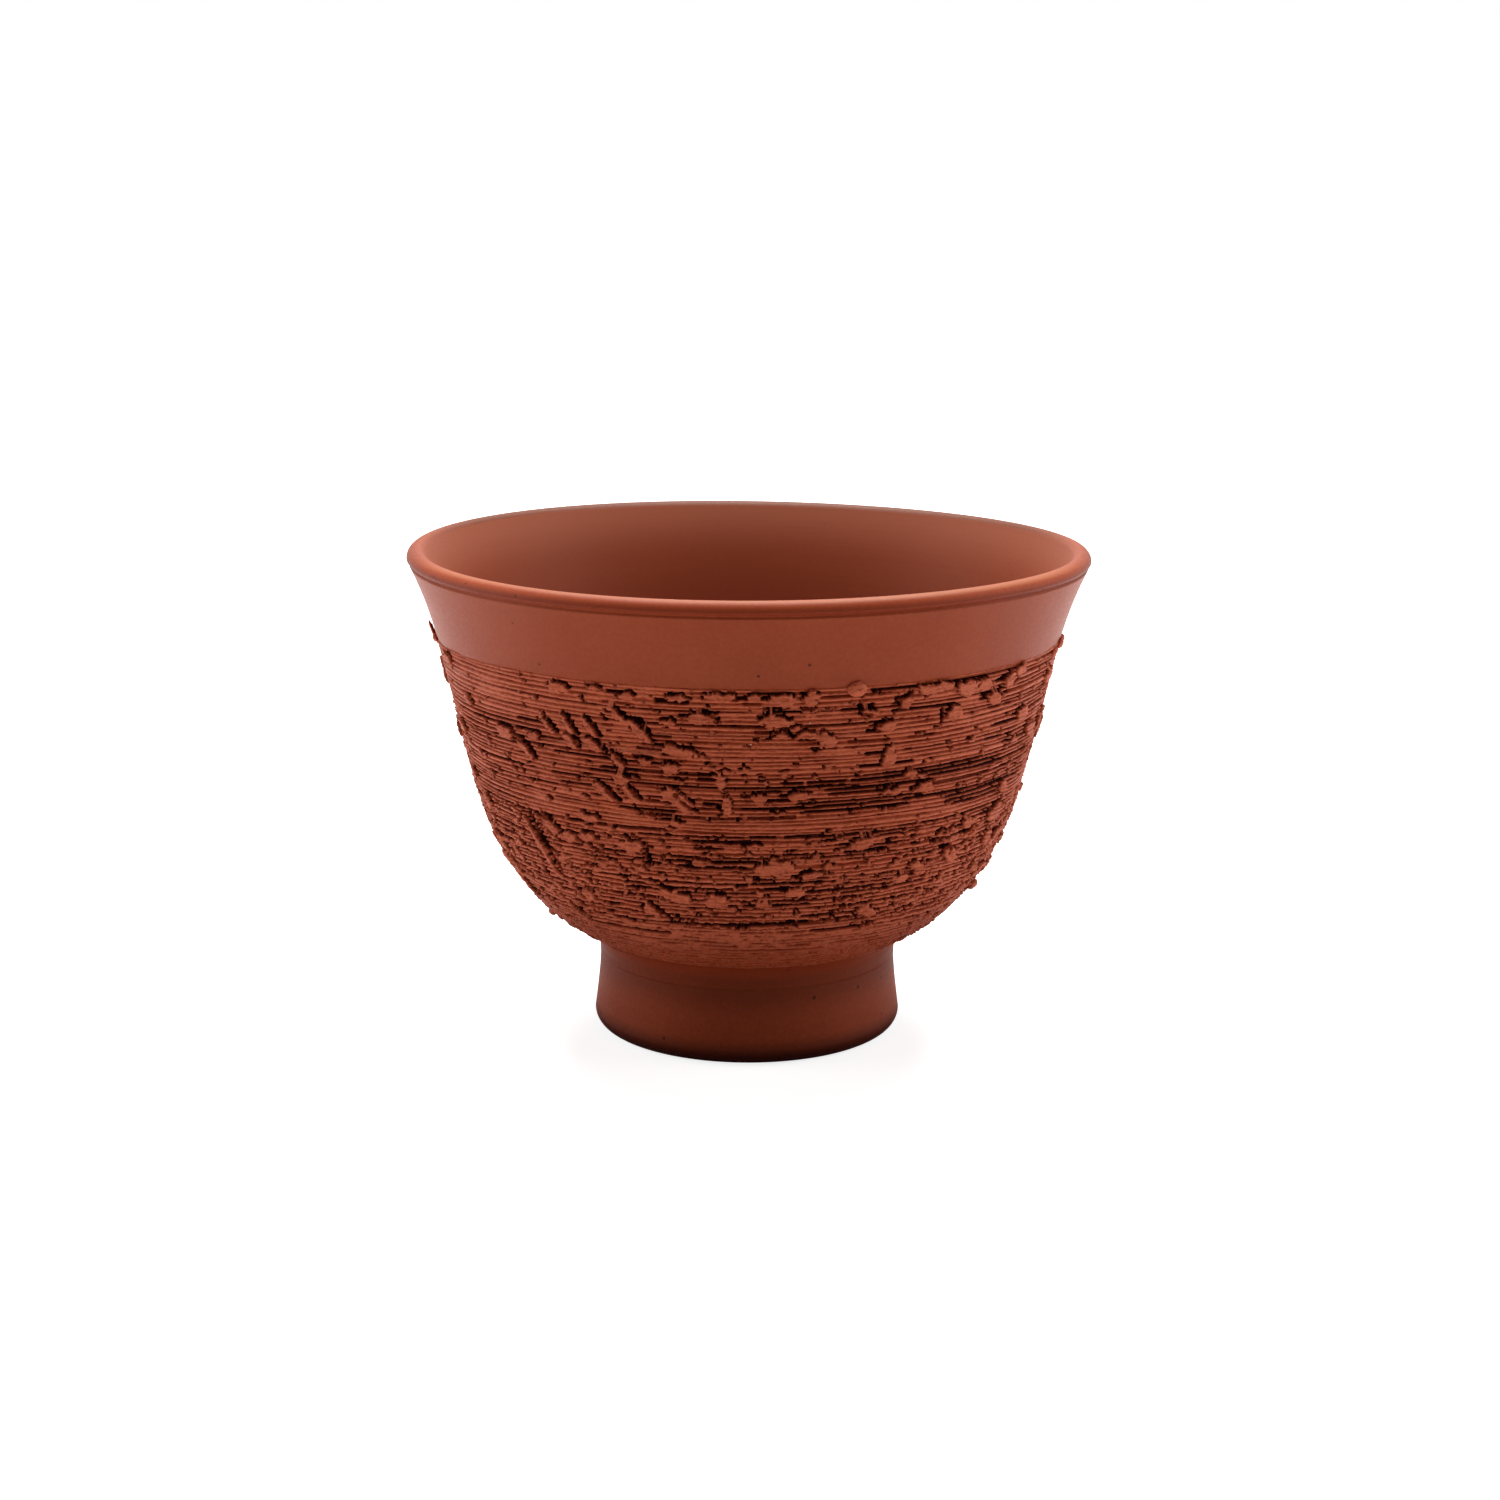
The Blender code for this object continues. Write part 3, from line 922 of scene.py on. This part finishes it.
def relief(crumbs, cuts, place, line):
    """Height of the coat's surface over the outer curve in millimetres, its brightness and its depth."""
    spot = in_millimetres(place)
    zone = Zones(spot)
    near = distance(spot, cuts.spot())
    groove, open_furrow, off_furrow = furrow_depths(spot, zone, line, cuts, near)
    tears = torn_open(spot, cuts, near)

    split = off_furrow.smooth(0.30, 0.10) * 0.05
    density = zone.busy * 0.075 + zone.lined * 0.03 - 0.03 - zone.soft_left * 0.04
    density = density - zone.calm * 0.25 - zone.strip * 0.04 - split
    plates, crumb, over = torn_clay(crumbs, spot, density)
    radius = radius_of(spot)
    aside = spot.part("X") / (RIM_RADIUS / MM) * PIT_ASIDE
    right, back = spot.part("Y") / radius * aside * -1.0, spot.part("X") / radius * aside
    below = shifted(spot, vector(spot.tree, right, back, -PIT_BELOW))
    edges, crumb_edge, _ = torn_clay(crumbs, below, density)
    ripped = noise(spot, 2.2, 1.0).smooth(0.30, 0.40)
    edges = (edges * ripped).larger(crumb_edge * ripped.ramp(0.0, 1.0, 0.5, 1.0))
    pits = (edges - plates).clamped() * (1.0 - zone.calm * 0.7)

    crumbly = noise(stretched(spot, 0.8, 0.45), 1.0, 3.0, 0.65) - 0.5
    hollows = (-0.06 - crumbly).larger(0.0) * (0.3 + zone.busy * 0.2 + zone.calm * 0.5)
    swell = noise(spot, 8.0, 1.0) - 0.5
    sunk = (groove * (1.0 - plates * 0.9)).larger(open_furrow * (1.0 - crumb * 0.9) * OPEN_DEPTH)
    sunk = sunk + pits * PIT_DEPTH + tears * (1.0 - plates * 0.6) * TEAR_DEPTH + hollows
    raised = plates * PLATE_RISE + crumb * (CRUMB_RISE + over.ramp(-1.0, 1.0, 0.0, CRUMB_LEAN))
    rough = crumbly * (0.10 + zone.busy * 0.15 + crumb * 0.2) * (1.0 - zone.calm * 0.6)
    lift = raised - sunk + rough + swell * SWELL
    edge = COAT_EDGE + (noise(stretched(spot, 6.0, 40.0), 1.0, 3.0) - 0.5) * 0.9 - zone.low_edge * 0.45
    lift = lift - (spot.part("Z") - edge).smooth(-0.1, 0.12) * EDGE_DROP

    pale = 0.75 + zone.busy * 0.1 + zone.low * (1.0 - zone.calm) * 0.25
    pale = pale + zone.sides * 0.2 + zone.pale_right * 0.15
    # Painted light and shade in the brightness: crumbs are paler towards their upper part, and furrows, pits
    # and tears get none of the pale torn tone
    bright = sunk.smooth(0.14, 0.0) * (pale - plates * 0.32 + over.ramp(-1.0, 1.0, 0.0, 0.3) * crumb)
    return lift, bright, sunk


BAND_INPUTS = (
    ("Crumb marks", "Object", None),
    ("Cut marks", "Object", None),
    ("Clay", "Material", None),
    ("First furrow", "Float", 0.0),
    ("Furrows", "Int", FURROWS // BANDS),
    ("Rows per furrow", "Int", ROWS_PER_FURROW),
    ("Inner rows", "Int", INNER_ROWS),
    ("Columns", "Int", COLUMNS),
    ("Coat foot", "Float", COAT_FOOT),
    ("Coat top", "Float", COAT_TOP),
    ("Furrows in all", "Float", FURROWS),
    ("Furrow spread", "Float", FURROW_SPREAD),
    ("Wander", "Float", FURROW_WANDER),
    ("Thickness", "Float", COAT_THICKNESS),
)


def combed_band_tree():
    """Node tree for one band of the coat: a closed ring whose outer side has furrows, plates and tears."""
    tree, given = shape_tree("Combed clay band", BAND_INPUTS)
    index = out(put(tree, "GeometryNodeInputIndex"))
    outer_rows = given["Furrows"] * given["Rows per furrow"] + 1.0
    rows = outer_rows + given["Inner rows"]
    circle = out(put(tree, "GeometryNodeCurvePrimitiveCircle", {"Resolution": given["Columns"]}))
    circle = stored(circle, "turn", index * math.tau / given["Columns"])
    strand = out(put(tree, "GeometryNodeCurvePrimitiveLine"))
    strand = out(put(tree, "GeometryNodeResampleCurve", {"Curve": strand, "Count": rows}))
    strand = out(put(tree, "GeometryNodeSetSplineCyclic", {"Geometry": strand, "Cyclic": True}))
    strand = stored(strand, "row", index)
    ring = out(put(tree, "GeometryNodeCurveToMesh", {"Curve": circle, "Profile Curve": strand}))

    turn, row = named(tree, "turn"), named(tree, "row")
    outside = row.math("LESS_THAN", row, outer_rows - 0.5)
    outer_line = given["First furrow"] + row / given["Rows per furrow"]
    inner_share = (row - outer_rows + 1.0) / (given["Inner rows"] + 1.0)
    inner_line = given["First furrow"] + given["Furrows"] * (1.0 - inner_share)
    line = outside.blend(inner_line, outer_line)

    handles = {
        "Resolution": CURVE_RESOLUTION,
        "Start": (*OUTER_JOINT, 0.0),
        "Start Handle": (*(OUTER_JOINT + OUTER_LEAVE), 0.0),
        "End Handle": (*(OUTER_LIP - OUTER_ARRIVE), 0.0),
        "End": (*OUTER_LIP, 0.0),
    }
    curve = out(put(tree, "GeometryNodeCurvePrimitiveBezierSegment", handles))
    sine, cosine = turn.math("SINE", turn), turn.math("COSINE", turn)

    wander = noise(vector(tree, sine * 1.6, cosine * 1.6, line * 0.09), 1.0, 1.0) - 0.5
    share = line / given["Furrows in all"]
    share = share + given["Furrow spread"] * share * (1.0 - share) * (1.0 - share)
    travel = given["Coat foot"] + share * (given["Coat top"] - given["Coat foot"]) + wander * given["Wander"]
    inputs = {"Curves": curve, "Length": travel}
    sample = put(tree, "GeometryNodeSampleCurve", inputs, mode="LENGTH", use_all_curves=True)
    point, slope = out(sample, "Position"), out(sample, "Tangent")

    def turned_about_axis(radius, height):
        return vector(tree, radius * sine, radius * cosine * -1.0, height)

    plain = turned_about_axis(point.part("X"), point.part("Y"))
    cuts = Marks(points_of(given["Cut marks"]), plain)
    lift, bright, sunk = relief(points_of(given["Crumb marks"]), cuts, plain, line)
    rise = outside.blend(given["Thickness"] * -1.0, lift * MM)
    place = turned_about_axis(
        point.part("X") + slope.part("Y") * rise,
        point.part("Y") - slope.part("X") * rise,
    )
    ring = stored(stored(ring, "bright", bright), "sunk", sunk)
    ring = out(put(tree, "GeometryNodeSetPosition", {"Geometry": ring, "Position": place}))
    end_shape(out(put(tree, "GeometryNodeFlipFaces", {"Mesh": ring})), given["Clay"])
    return tree


# Turned pieces


def turned(name, profile, closed, material):
    """A profile turned a full circle about Z."""
    mesh = bpy.data.meshes.new(name)
    count = len(profile)
    edges = [(k, k + 1) for k in range(count - 1)]
    if closed:
        edges.append((count - 1, 0))
    mesh.from_pydata([(p.x, 0.0, p.y) for p in profile], edges, [])
    piece = bpy.data.objects.new(name, mesh)
    bpy.context.scene.collection.objects.link(piece)
    screw = piece.modifiers.new("Turn", "SCREW")
    screw.steps = TURN_STEPS
    screw.render_steps = TURN_STEPS
    screw.use_merge_vertices = True
    screw.merge_threshold = MERGE_REACH
    screw.use_smooth_shade = True
    graph = bpy.context.evaluated_depsgraph_get()
    piece.data = bpy.data.meshes.new_from_object(piece.evaluated_get(graph))
    piece.modifiers.clear()
    piece.data.materials.clear()
    piece.data.materials.append(material)
    return piece


def bowl_profile():
    """Inside, lip, collar, the side under the coat, heel and underside."""
    middle = Vector((0.0, JOINT_HEIGHT + FLOOR))
    wall_start = side(FLOOR_BLEND, WALL)
    wall_slope = (side(FLOOR_BLEND + WALL, WALL) - wall_start).normalized()
    reach = wall_start.x / 2
    inside = bezier(middle, Vector((reach, 0.0)), reach / 2 * wall_slope, wall_start, 40)
    for share in np.linspace(0.0, 1.0, 70)[1:-1]:
        depth = WALL + (2 * LIP_RADIUS - WALL) * share**LIP_TAPER
        inside.append(side(FLOOR_BLEND + share * (LIP_END - FLOOR_BLEND), depth))
    square = LIP_LEAN - math.pi / 2
    lip = arc(side(LIP_END, LIP_RADIUS), LIP_RADIUS, square + math.pi, 0.0, 28)
    crease = side(BEAD_END, LIP_CREASE)
    tuck = LIP_CREASE / 2 * direction(TUCK_ANGLE)
    bead = bezier(lip[-1], Vector((0.0, -LIP_CREASE / 2)), tuck, crease, 12)[1:]
    shoulder = side(BEAD_END - LIP_CREASE * 3 / 4, COLLAR_DEPTH)
    onto_collar = shoulder - side(BEAD_END - LIP_CREASE / 2, COLLAR_DEPTH)
    bead += bezier(crease, tuck / 2, onto_collar, shoulder, 8)[1:-1]
    collar = side_run(BEAD_END - LIP_CREASE * 3 / 4, COAT_TOP, COLLAR_DEPTH, 40)
    seat_top, seat_foot = COAT_TOP - FURROW_PITCH, COAT_FOOT + FURROW_PITCH
    under_coat = [side(seat_top, 2 * COLLAR_DEPTH), side(seat_top, COAT_THICKNESS)]
    seat = side_run(seat_top, seat_foot, COAT_THICKNESS, 50)[1:]
    heel = side_run(seat_foot, 0.0, COLLAR_DEPTH, 8)
    seat_edge = Vector((FOOT_HOLLOW_RADIUS, JOINT_HEIGHT))
    dish = Vector((-FOOT_HOLLOW_RADIUS / 2, 0.0))
    underside = bezier(seat_edge, dish, dish, Vector((0.0, JOINT_HEIGHT + UNDERSIDE_DISH)), 20)
    return inside + lip + bead + collar + under_coat + seat + heel + underside


def uneven_rim(bowl):
    """Lets the rim dip and tilt a little, fading out down to the coat."""
    coordinates = np.empty(3 * len(bowl.data.vertices))
    bowl.data.vertices.foreach_get("co", coordinates)
    points = coordinates.reshape(-1, 3)
    turn = np.arctan2(points[:, 0], -points[:, 1])
    base = side(COAT_TOP).y
    share = np.clip((points[:, 2] - base) / (CUP_HEIGHT - base), 0.0, 1.0)
    share = share * share * (3.0 - 2.0 * share)
    rise = RIM_WARP * (np.sin(2 * turn) - np.cos(2 * turn) / 2) - RIM_TILT * np.sin(turn) - RIM_DIP
    points[:, 2] += share * np.minimum(rise, 0.0)
    bowl.data.vertices.foreach_set("co", points.ravel())
    bowl.data.update()


def foot_side(height):
    """Outer radius of the foot, which flares towards its base."""
    share = (FOOT_TOP - height) / (FOOT_TOP - FOOT_EDGE)
    return NECK_RADIUS + (FOOT_RADIUS - NECK_RADIUS) * share * share * (3.0 - share) / 2.0


def slip_profile():
    """Slip smeared into the corner between heel and foot, hollow outside like a fingertip's track."""
    upper = side(travel_to(JOINT_HEIGHT + HEEL_HEIGHT), 3 * COLLAR_DEPTH)
    lower = Vector((foot_side(FOOT_TOP - FILLET) + COLLAR_DEPTH / 2, FOOT_TOP - FILLET))
    along_heel = side(0.0) - side(2 * FILLET)
    leave = along_heel.normalized() * FILLET
    arrive = Vector((0.0, -FILLET))
    fillet = bezier(upper, leave, arrive, lower, 18)
    inner = NECK_RADIUS - FILLET
    return fillet + [Vector((inner, lower.y)), Vector((inner, upper.y))]


def foot_profile():
    """A ring that flares towards its base, with a round outer edge and a flat to stand on."""
    outside = [Vector((foot_side(z), z)) for z in np.linspace(FOOT_TOP, FOOT_EDGE, 40)]
    edge_centre = Vector((FOOT_RADIUS - FOOT_EDGE, FOOT_EDGE))
    edge = arc(edge_centre, FOOT_EDGE, 0.0, -math.pi / 2, 16)[1:]
    inner_centre = Vector((FOOT_HOLLOW_RADIUS + FOOT_INNER_EDGE, FOOT_INNER_EDGE))
    inner_edge = arc(inner_centre, FOOT_INNER_EDGE, -math.pi / 2, -math.pi, 8)
    hollow = [Vector((FOOT_HOLLOW_RADIUS, z)) for z in np.linspace(FOOT_INNER_EDGE, JOINT_HEIGHT, 14)[1:]]
    return [Vector((NECK_RADIUS - FILLET, JOINT_HEIGHT))] + outside + edge + inner_edge + hollow


# Clay


# Colours of the clay, from fired dark to torn open, and of the sand in it. Some stand for light: a painted
# sheen inside under the rim, a painted highlight on the front crest, and painted shade on the lip, under the
# bead, in the coat's furrows, pits and tears, and on the foot and the slip
CLAY_DEEP = (0.232, 0.036, 0.0105, 1.0)
CLAY_PALE = (0.308, 0.056, 0.019, 1.0)
CLAY_INSIDE = (0.200, 0.044, 0.017, 1.0)
CLAY_RIM_SHEEN = (0.300, 0.095, 0.052, 1.0)
CLAY_LIP_SHADE = (0.100, 0.030, 0.014, 1.0)
CLAY_WARM = (0.330, 0.053, 0.013, 1.0)
CLAY_TORN = (0.510, 0.112, 0.052, 1.0)
CLAY_LOW = (0.400, 0.062, 0.014, 1.0)
CLAY_SLIP_SHADE = (0.185, 0.020, 0.004, 1.0)
CLAY_DARKER_AND_SHADE = (0.145, 0.0135, 0.002, 1.0)
CLAY_IRON_AND_SHADE = (0.022, 0.0012, 0.0006, 1.0)
CLAY_CREST_HIGHLIGHT = (0.33, 0.124, 0.057, 1.0)
SAND_PALE = (0.60, 0.42, 0.32, 1.0)

# Gloss of the clay, and of the foot and the slip
SHINE = 0.11
DULL = SHINE * 2 / 3


def clay(name, shine=SHINE):
    """A material with its shader, and places in it in millimetres."""
    material = bpy.data.materials.new(name)
    material.use_nodes = True
    shader = material.node_tree.nodes["Principled BSDF"]
    shader.inputs["Specular IOR Level"].default_value = shine
    place = out(put(material.node_tree, "ShaderNodeTexCoord"), "Object")
    return material, shader, in_millimetres(place)


def layered(colour, *coats):
    """A colour with others laid over it in turn, each by a share from 0 to 1."""
    for share, over in coats:
        inputs = {"Factor": share, "A": colour, "B": over}
        colour = out(put(share.tree, "ShaderNodeMix", inputs, data_type="RGBA"), "Result")
    return colour


def dress(shader, colour, roughness, height, depth):
    """Gives a shader its colour, its roughness and a bump of this depth."""
    feed(colour, shader.inputs["Base Color"])
    feed(roughness, shader.inputs["Roughness"])
    inputs = {"Height": height, "Distance": depth}
    feed(out(put(height.tree, "ShaderNodeBump", inputs)), shader.inputs["Normal"])


def carried(spot, name):
    """A number that the coat's mesh carries."""
    return out(put(spot.tree, "ShaderNodeAttribute", attribute_name=name), "Fac")


def specks(spot, spacing, radius, amount):
    """1 on scattered small grains of this radius."""
    grains = put(spot.tree, "ShaderNodeTexVoronoi", {"Vector": spot, "Scale": 1.0 / spacing})
    reach = (out(grains, "Distance") * spacing).smooth(radius, radius * 0.6)
    return reach * out(grains, "Color").smooth(amount, amount * 0.8)


def mottled(spot):
    """Red clay with faint cloudy changes of colour and small dark specks of iron."""
    cloudy = noise(spot, 12.0, 3.0).smooth(0.3, 0.7)
    fine = noise(spot, 0.5, 2.0).smooth(0.3, 0.75)
    return layered(
        CLAY_DEEP,
        (0.12 + cloudy * 0.25 + fine * 0.3, CLAY_PALE),
        (specks(spot, 2.2, 0.26, 0.22) * 0.75, CLAY_IRON_AND_SHADE),
    )


def smooth_clay():
    """Burnished clay of the bowl's inside, lip and collar. Painted light on it: sheen on the inside, most
    under the rim, a highlight on the front of the crest, and shade under the bead, on the crest's inner side,
    on the far crest and at the ends of the lip.
    """
    material, shader, spot = clay("smooth red clay")
    normal = out(put(spot.tree, "ShaderNodeNewGeometry"), "Normal")
    outward = (normal.part("X") * spot.part("X") + normal.part("Y") * spot.part("Y")) / radius_of(spot)
    inward = outward.smooth(0.1, -0.3)
    height, aside = spot.part("Z"), around(spot).absolute()
    crest = height.smooth(64.8, 65.2)
    # Painted shade: the lower half of the bead, on the outside, is darker
    bead_shade = height.smooth(64.75, 64.0) * height.smooth(63.45, 63.6) * outward.smooth(0.1, 0.4)
    # Painted shade: the up-facing crest of the far rim and the lip's ends at the sides are darker
    far_crest = normal.part("Z").smooth(0.45, 0.8) * outward.smooth(0.6, 0.3) * aside.smooth(1.5, 2.1) * 0.8
    ends = outward.smooth(-0.3, 0.2) * aside.smooth(1.0, 1.4) * aside.smooth(2.1, 1.6) * 0.4
    colour = layered(
        mottled(spot),
        # Painted sheen: the inside is coloured less red than the outside, for the sheen it shows under the
        # lamps
        (outward.smooth(0.2, -0.4) * 0.7, CLAY_INSIDE),
        # Painted sheen: the inside is paler and greyer towards the rim
        (height.smooth(57.5, 64.0) * inward * 0.5, CLAY_RIM_SHEEN),
        # Painted highlight: the front of the crest is paler
        (crest * outward.smooth(-0.35, 0.2) * aside.smooth(1.4, 0.9) * 0.5, CLAY_CREST_HIGHLIGHT),
        # Painted shade: the crest's inner side is darker
        (crest * inward * 0.3, CLAY_DARKER_AND_SHADE),
        (bead_shade * 0.6, CLAY_DARKER_AND_SHADE),
        (height.smooth(63.5, 63.9) * far_crest.larger(ends), CLAY_LIP_SHADE),
    )
    rings = noise(stretched(spot, 60.0, 0.35), 1.0, 2.0)
    grain = noise(spot, 0.35, 2.0)
    dress(shader, colour, grain.ramp(0.3, 0.7, 0.44, 0.56), rings * 0.6 + grain * 0.4, 0.02 * MM)
    return material


def combed_clay():
    """Rough clay of the coat, with painted shade in its furrows, pits and tears."""
    material, shader, spot = clay("combed red clay")
    sunk, bright = carried(spot, "sunk"), carried(spot, "bright")
    height, beside = spot.part("Z"), around(spot).absolute().smooth(0.4, 0.9)
    streaks = noise(stretched(spot, 9.0, 0.16), 1.0, 3.0)
    fine = noise(stretched(spot, 0.55, 0.17), 1.0, 3.0, 0.6)
    colour = layered(
        mottled(spot),
        (noise(spot, 3.0, 3.0).smooth(0.45, 0.7) * 0.6, CLAY_WARM),
        # The brightness carries painted light: paler on the upper part of crumbs, and none in furrows, pits
        # and tears, as painted shade
        (bright, CLAY_TORN),
        (height.smooth(20.0, 14.5) * 0.5, CLAY_LOW),
        (height.smooth(22.5, 17.0) * 0.34, CLAY_DARKER_AND_SHADE),
        (height.smooth(27.0, 18.0) * beside * 0.35, CLAY_DARKER_AND_SHADE),
        (streaks.smooth(0.52, 0.32) * (1.0 - bright) * 0.4, CLAY_DARKER_AND_SHADE),
        (specks(spot, 1.8, 0.13, 0.2) * 0.85, SAND_PALE),
        (fine.smooth(0.47, 0.35) * 0.55, CLAY_DARKER_AND_SHADE),
        (fine.smooth(0.55, 0.70) * 0.5, CLAY_TORN),
        # Painted shade: furrows, pits and tears darken with their depth, to near black in the deepest
        (sunk.smooth(0.06, 0.30) * 0.85, CLAY_DARKER_AND_SHADE),
        (sunk.smooth(0.26, 0.48), CLAY_IRON_AND_SHADE),
    )
    grain = noise(spot, 0.25, 3.0)
    roughness = (grain.ramp(0.3, 0.7, 0.46, 0.62) + sunk * 1.2).clamped()
    dress(shader, colour, roughness, grain * 0.4 + fine * 0.6, 0.12 * MM)
    return material


def foot_clay():
    """Trimmed clay of the foot, with the turning tool's fine rings, and painted shade at its base edge and
    neck.
    """
    material, shader, spot = clay("trimmed red clay", DULL)
    height = spot.part("Z")
    # Painted shade: the foot is darker at its outer base edge and towards its neck under the coat
    base = height.smooth(4.2, 0.8) * radius_of(spot).smooth(18.0, 19.0)
    base_and_neck_shade = (base * 0.9).larger(0.08 + height.smooth(5.5, 10.0) * 0.38)
    specked = specks(spot, 2.0, 0.32, 0.3) * 0.7
    colour = layered(mottled(spot), (base_and_neck_shade, CLAY_IRON_AND_SHADE), (specked, CLAY_IRON_AND_SHADE))
    rings = noise(stretched(spot, 50.0, 0.25), 1.0, 2.0)
    grain = noise(spot, 0.3, 2.0)
    dress(shader, colour, grain.ramp(0.3, 0.7, 0.46, 0.6), rings * 0.6 + grain * 0.4, 0.03 * MM)
    return material


def slip_clay():
    """Slip smeared into the corner under the coat, wiped with a wet finger, and darkened all over with
    painted shade of that corner.
    """
    material, shader, spot = clay("smeared red slip", DULL)
    smears = noise(stretched(spot, 12.0, 0.5), 1.0, 3.0)
    fresh = spot.part("Z").smooth(11.2, 13.4)
    colour = layered(
        mottled(spot),
        # Painted shade: the slip is darker all over, greyer towards the foot and dark red in smeared streaks
        # higher up
        ((1.0 - fresh) * 0.40, CLAY_IRON_AND_SHADE),
        (fresh * (0.4 + smears * 0.5), CLAY_SLIP_SHADE),
    )
    dress(shader, colour, smears.ramp(0.3, 0.7, 0.46, 0.6), smears, 0.03 * MM)
    return material


# Stage


def viewing_rays(tree):
    """1 for rays straight from the camera, and 1 for those that come by gloss or glass."""
    paths = put(tree, "ShaderNodeLightPath")
    return out(paths, "Is Camera Ray"), out(paths, "Is Glossy Ray").larger(out(paths, "Is Transmission Ray"))


def make_floor():
    bpy.ops.mesh.primitive_plane_add(size=FLOOR_SIZE)
    floor = bpy.context.object
    floor.name = "floor"
    material, shader, spot = clay("pale floor", 0.0)
    feed(layered(FLOOR_DARK, (noise(spot, 400.0, 2.0), FLOOR_PALE)), shader.inputs["Base Color"])
    shader.inputs["Roughness"].default_value = 0.9
    away = radius_of(spot)
    straight, by_gloss = viewing_rays(spot.tree)
    straight = straight * away.smooth(60.0, 500.0).ramp(0.0, 1.0, FLOOR_GLOW, 1.0)
    feed(straight.larger(by_gloss * away.smooth(30.0, 220.0)), shader.inputs["Emission Strength"])
    shader.inputs["Emission Color"].default_value = WHITE
    floor.data.materials.append(material)


def make_world():
    world = bpy.data.worlds.new("studio")
    bpy.context.scene.world = world
    world.use_nodes = True
    background = world.node_tree.nodes["Background"]
    background.inputs["Color"].default_value = WHITE
    straight, by_gloss = viewing_rays(world.node_tree)
    feed(straight.larger(by_gloss).ramp(0.0, 1.0, ROOM_LIGHT, 1.0), background.inputs["Strength"])


def make_lights():
    for name, place, size, power in LAMPS:
        lamp = bpy.data.lights.new(name, "AREA")
        lamp.shape = "RECTANGLE"
        lamp.size, lamp.size_y = size
        lamp.energy = power
        holder = bpy.data.objects.new(name, lamp)
        holder.location = place
        holder.rotation_euler = (Vector(LAMP_AIM) - Vector(place)).to_track_quat("-Z", "Y").to_euler()
        bpy.context.scene.collection.objects.link(holder)


def make_camera():
    lens = bpy.data.cameras.new("camera")
    lens.lens = CAMERA_LENS
    lens.sensor_width = CAMERA_SENSOR
    camera = bpy.data.objects.new("camera", lens)
    back = Vector((0.0, -math.cos(CAMERA_PITCH), math.sin(CAMERA_PITCH)))
    camera.location = CAMERA_AIM + CAMERA_DISTANCE * back
    aim = Matrix.Rotation(math.pi / 2 - CAMERA_PITCH, 3, "X") @ Matrix.Rotation(CAMERA_ROLL, 3, "Z")
    camera.rotation_euler = aim.to_euler()
    bpy.context.scene.collection.objects.link(camera)
    bpy.context.scene.camera = camera


# The cup


def take_place(piece, node):
    """Lets a finished piece stand for a CAD node."""
    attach(piece, "root")
    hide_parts(node)


def make_cup():
    smooth = smooth_clay()
    combed = combed_clay()
    trimmed = foot_clay()
    bowl = turned("thrown_bowl", bowl_profile(), False, smooth)
    uneven_rim(bowl)
    take_place(bowl, "bowl")
    take_place(turned("smeared_slip", slip_profile(), True, slip_clay()), "slip_joint")
    take_place(turned("turned_foot", foot_profile(), True, trimmed), "foot_ring")
    torn = torn_crumbs()
    crumbs, cuts = crumb_marks(torn), cut_marks(torn)
    tree = combed_band_tree()
    for band in range(BANDS):
        first = band * FURROWS / BANDS
        values = {"Crumb marks": crumbs, "Cut marks": cuts, "Clay": combed, "First furrow": first}
        take_place(grown(f"combed_band_{band + 1}", tree, values), "combed_coat")
    loose = loose_marks()
    values = {"Loose marks": loose, "Clay": combed}
    take_place(grown("loose_crumbs", loose_crumb_tree(), values), "combed_coat")
    for marks in (crumbs, cuts, loose):
        bpy.data.objects.remove(marks)


def main():
    bpy.context.scene.view_settings.view_transform = "Standard"
    make_camera()
    make_world()
    make_lights()
    make_floor()
    make_cup()


main()
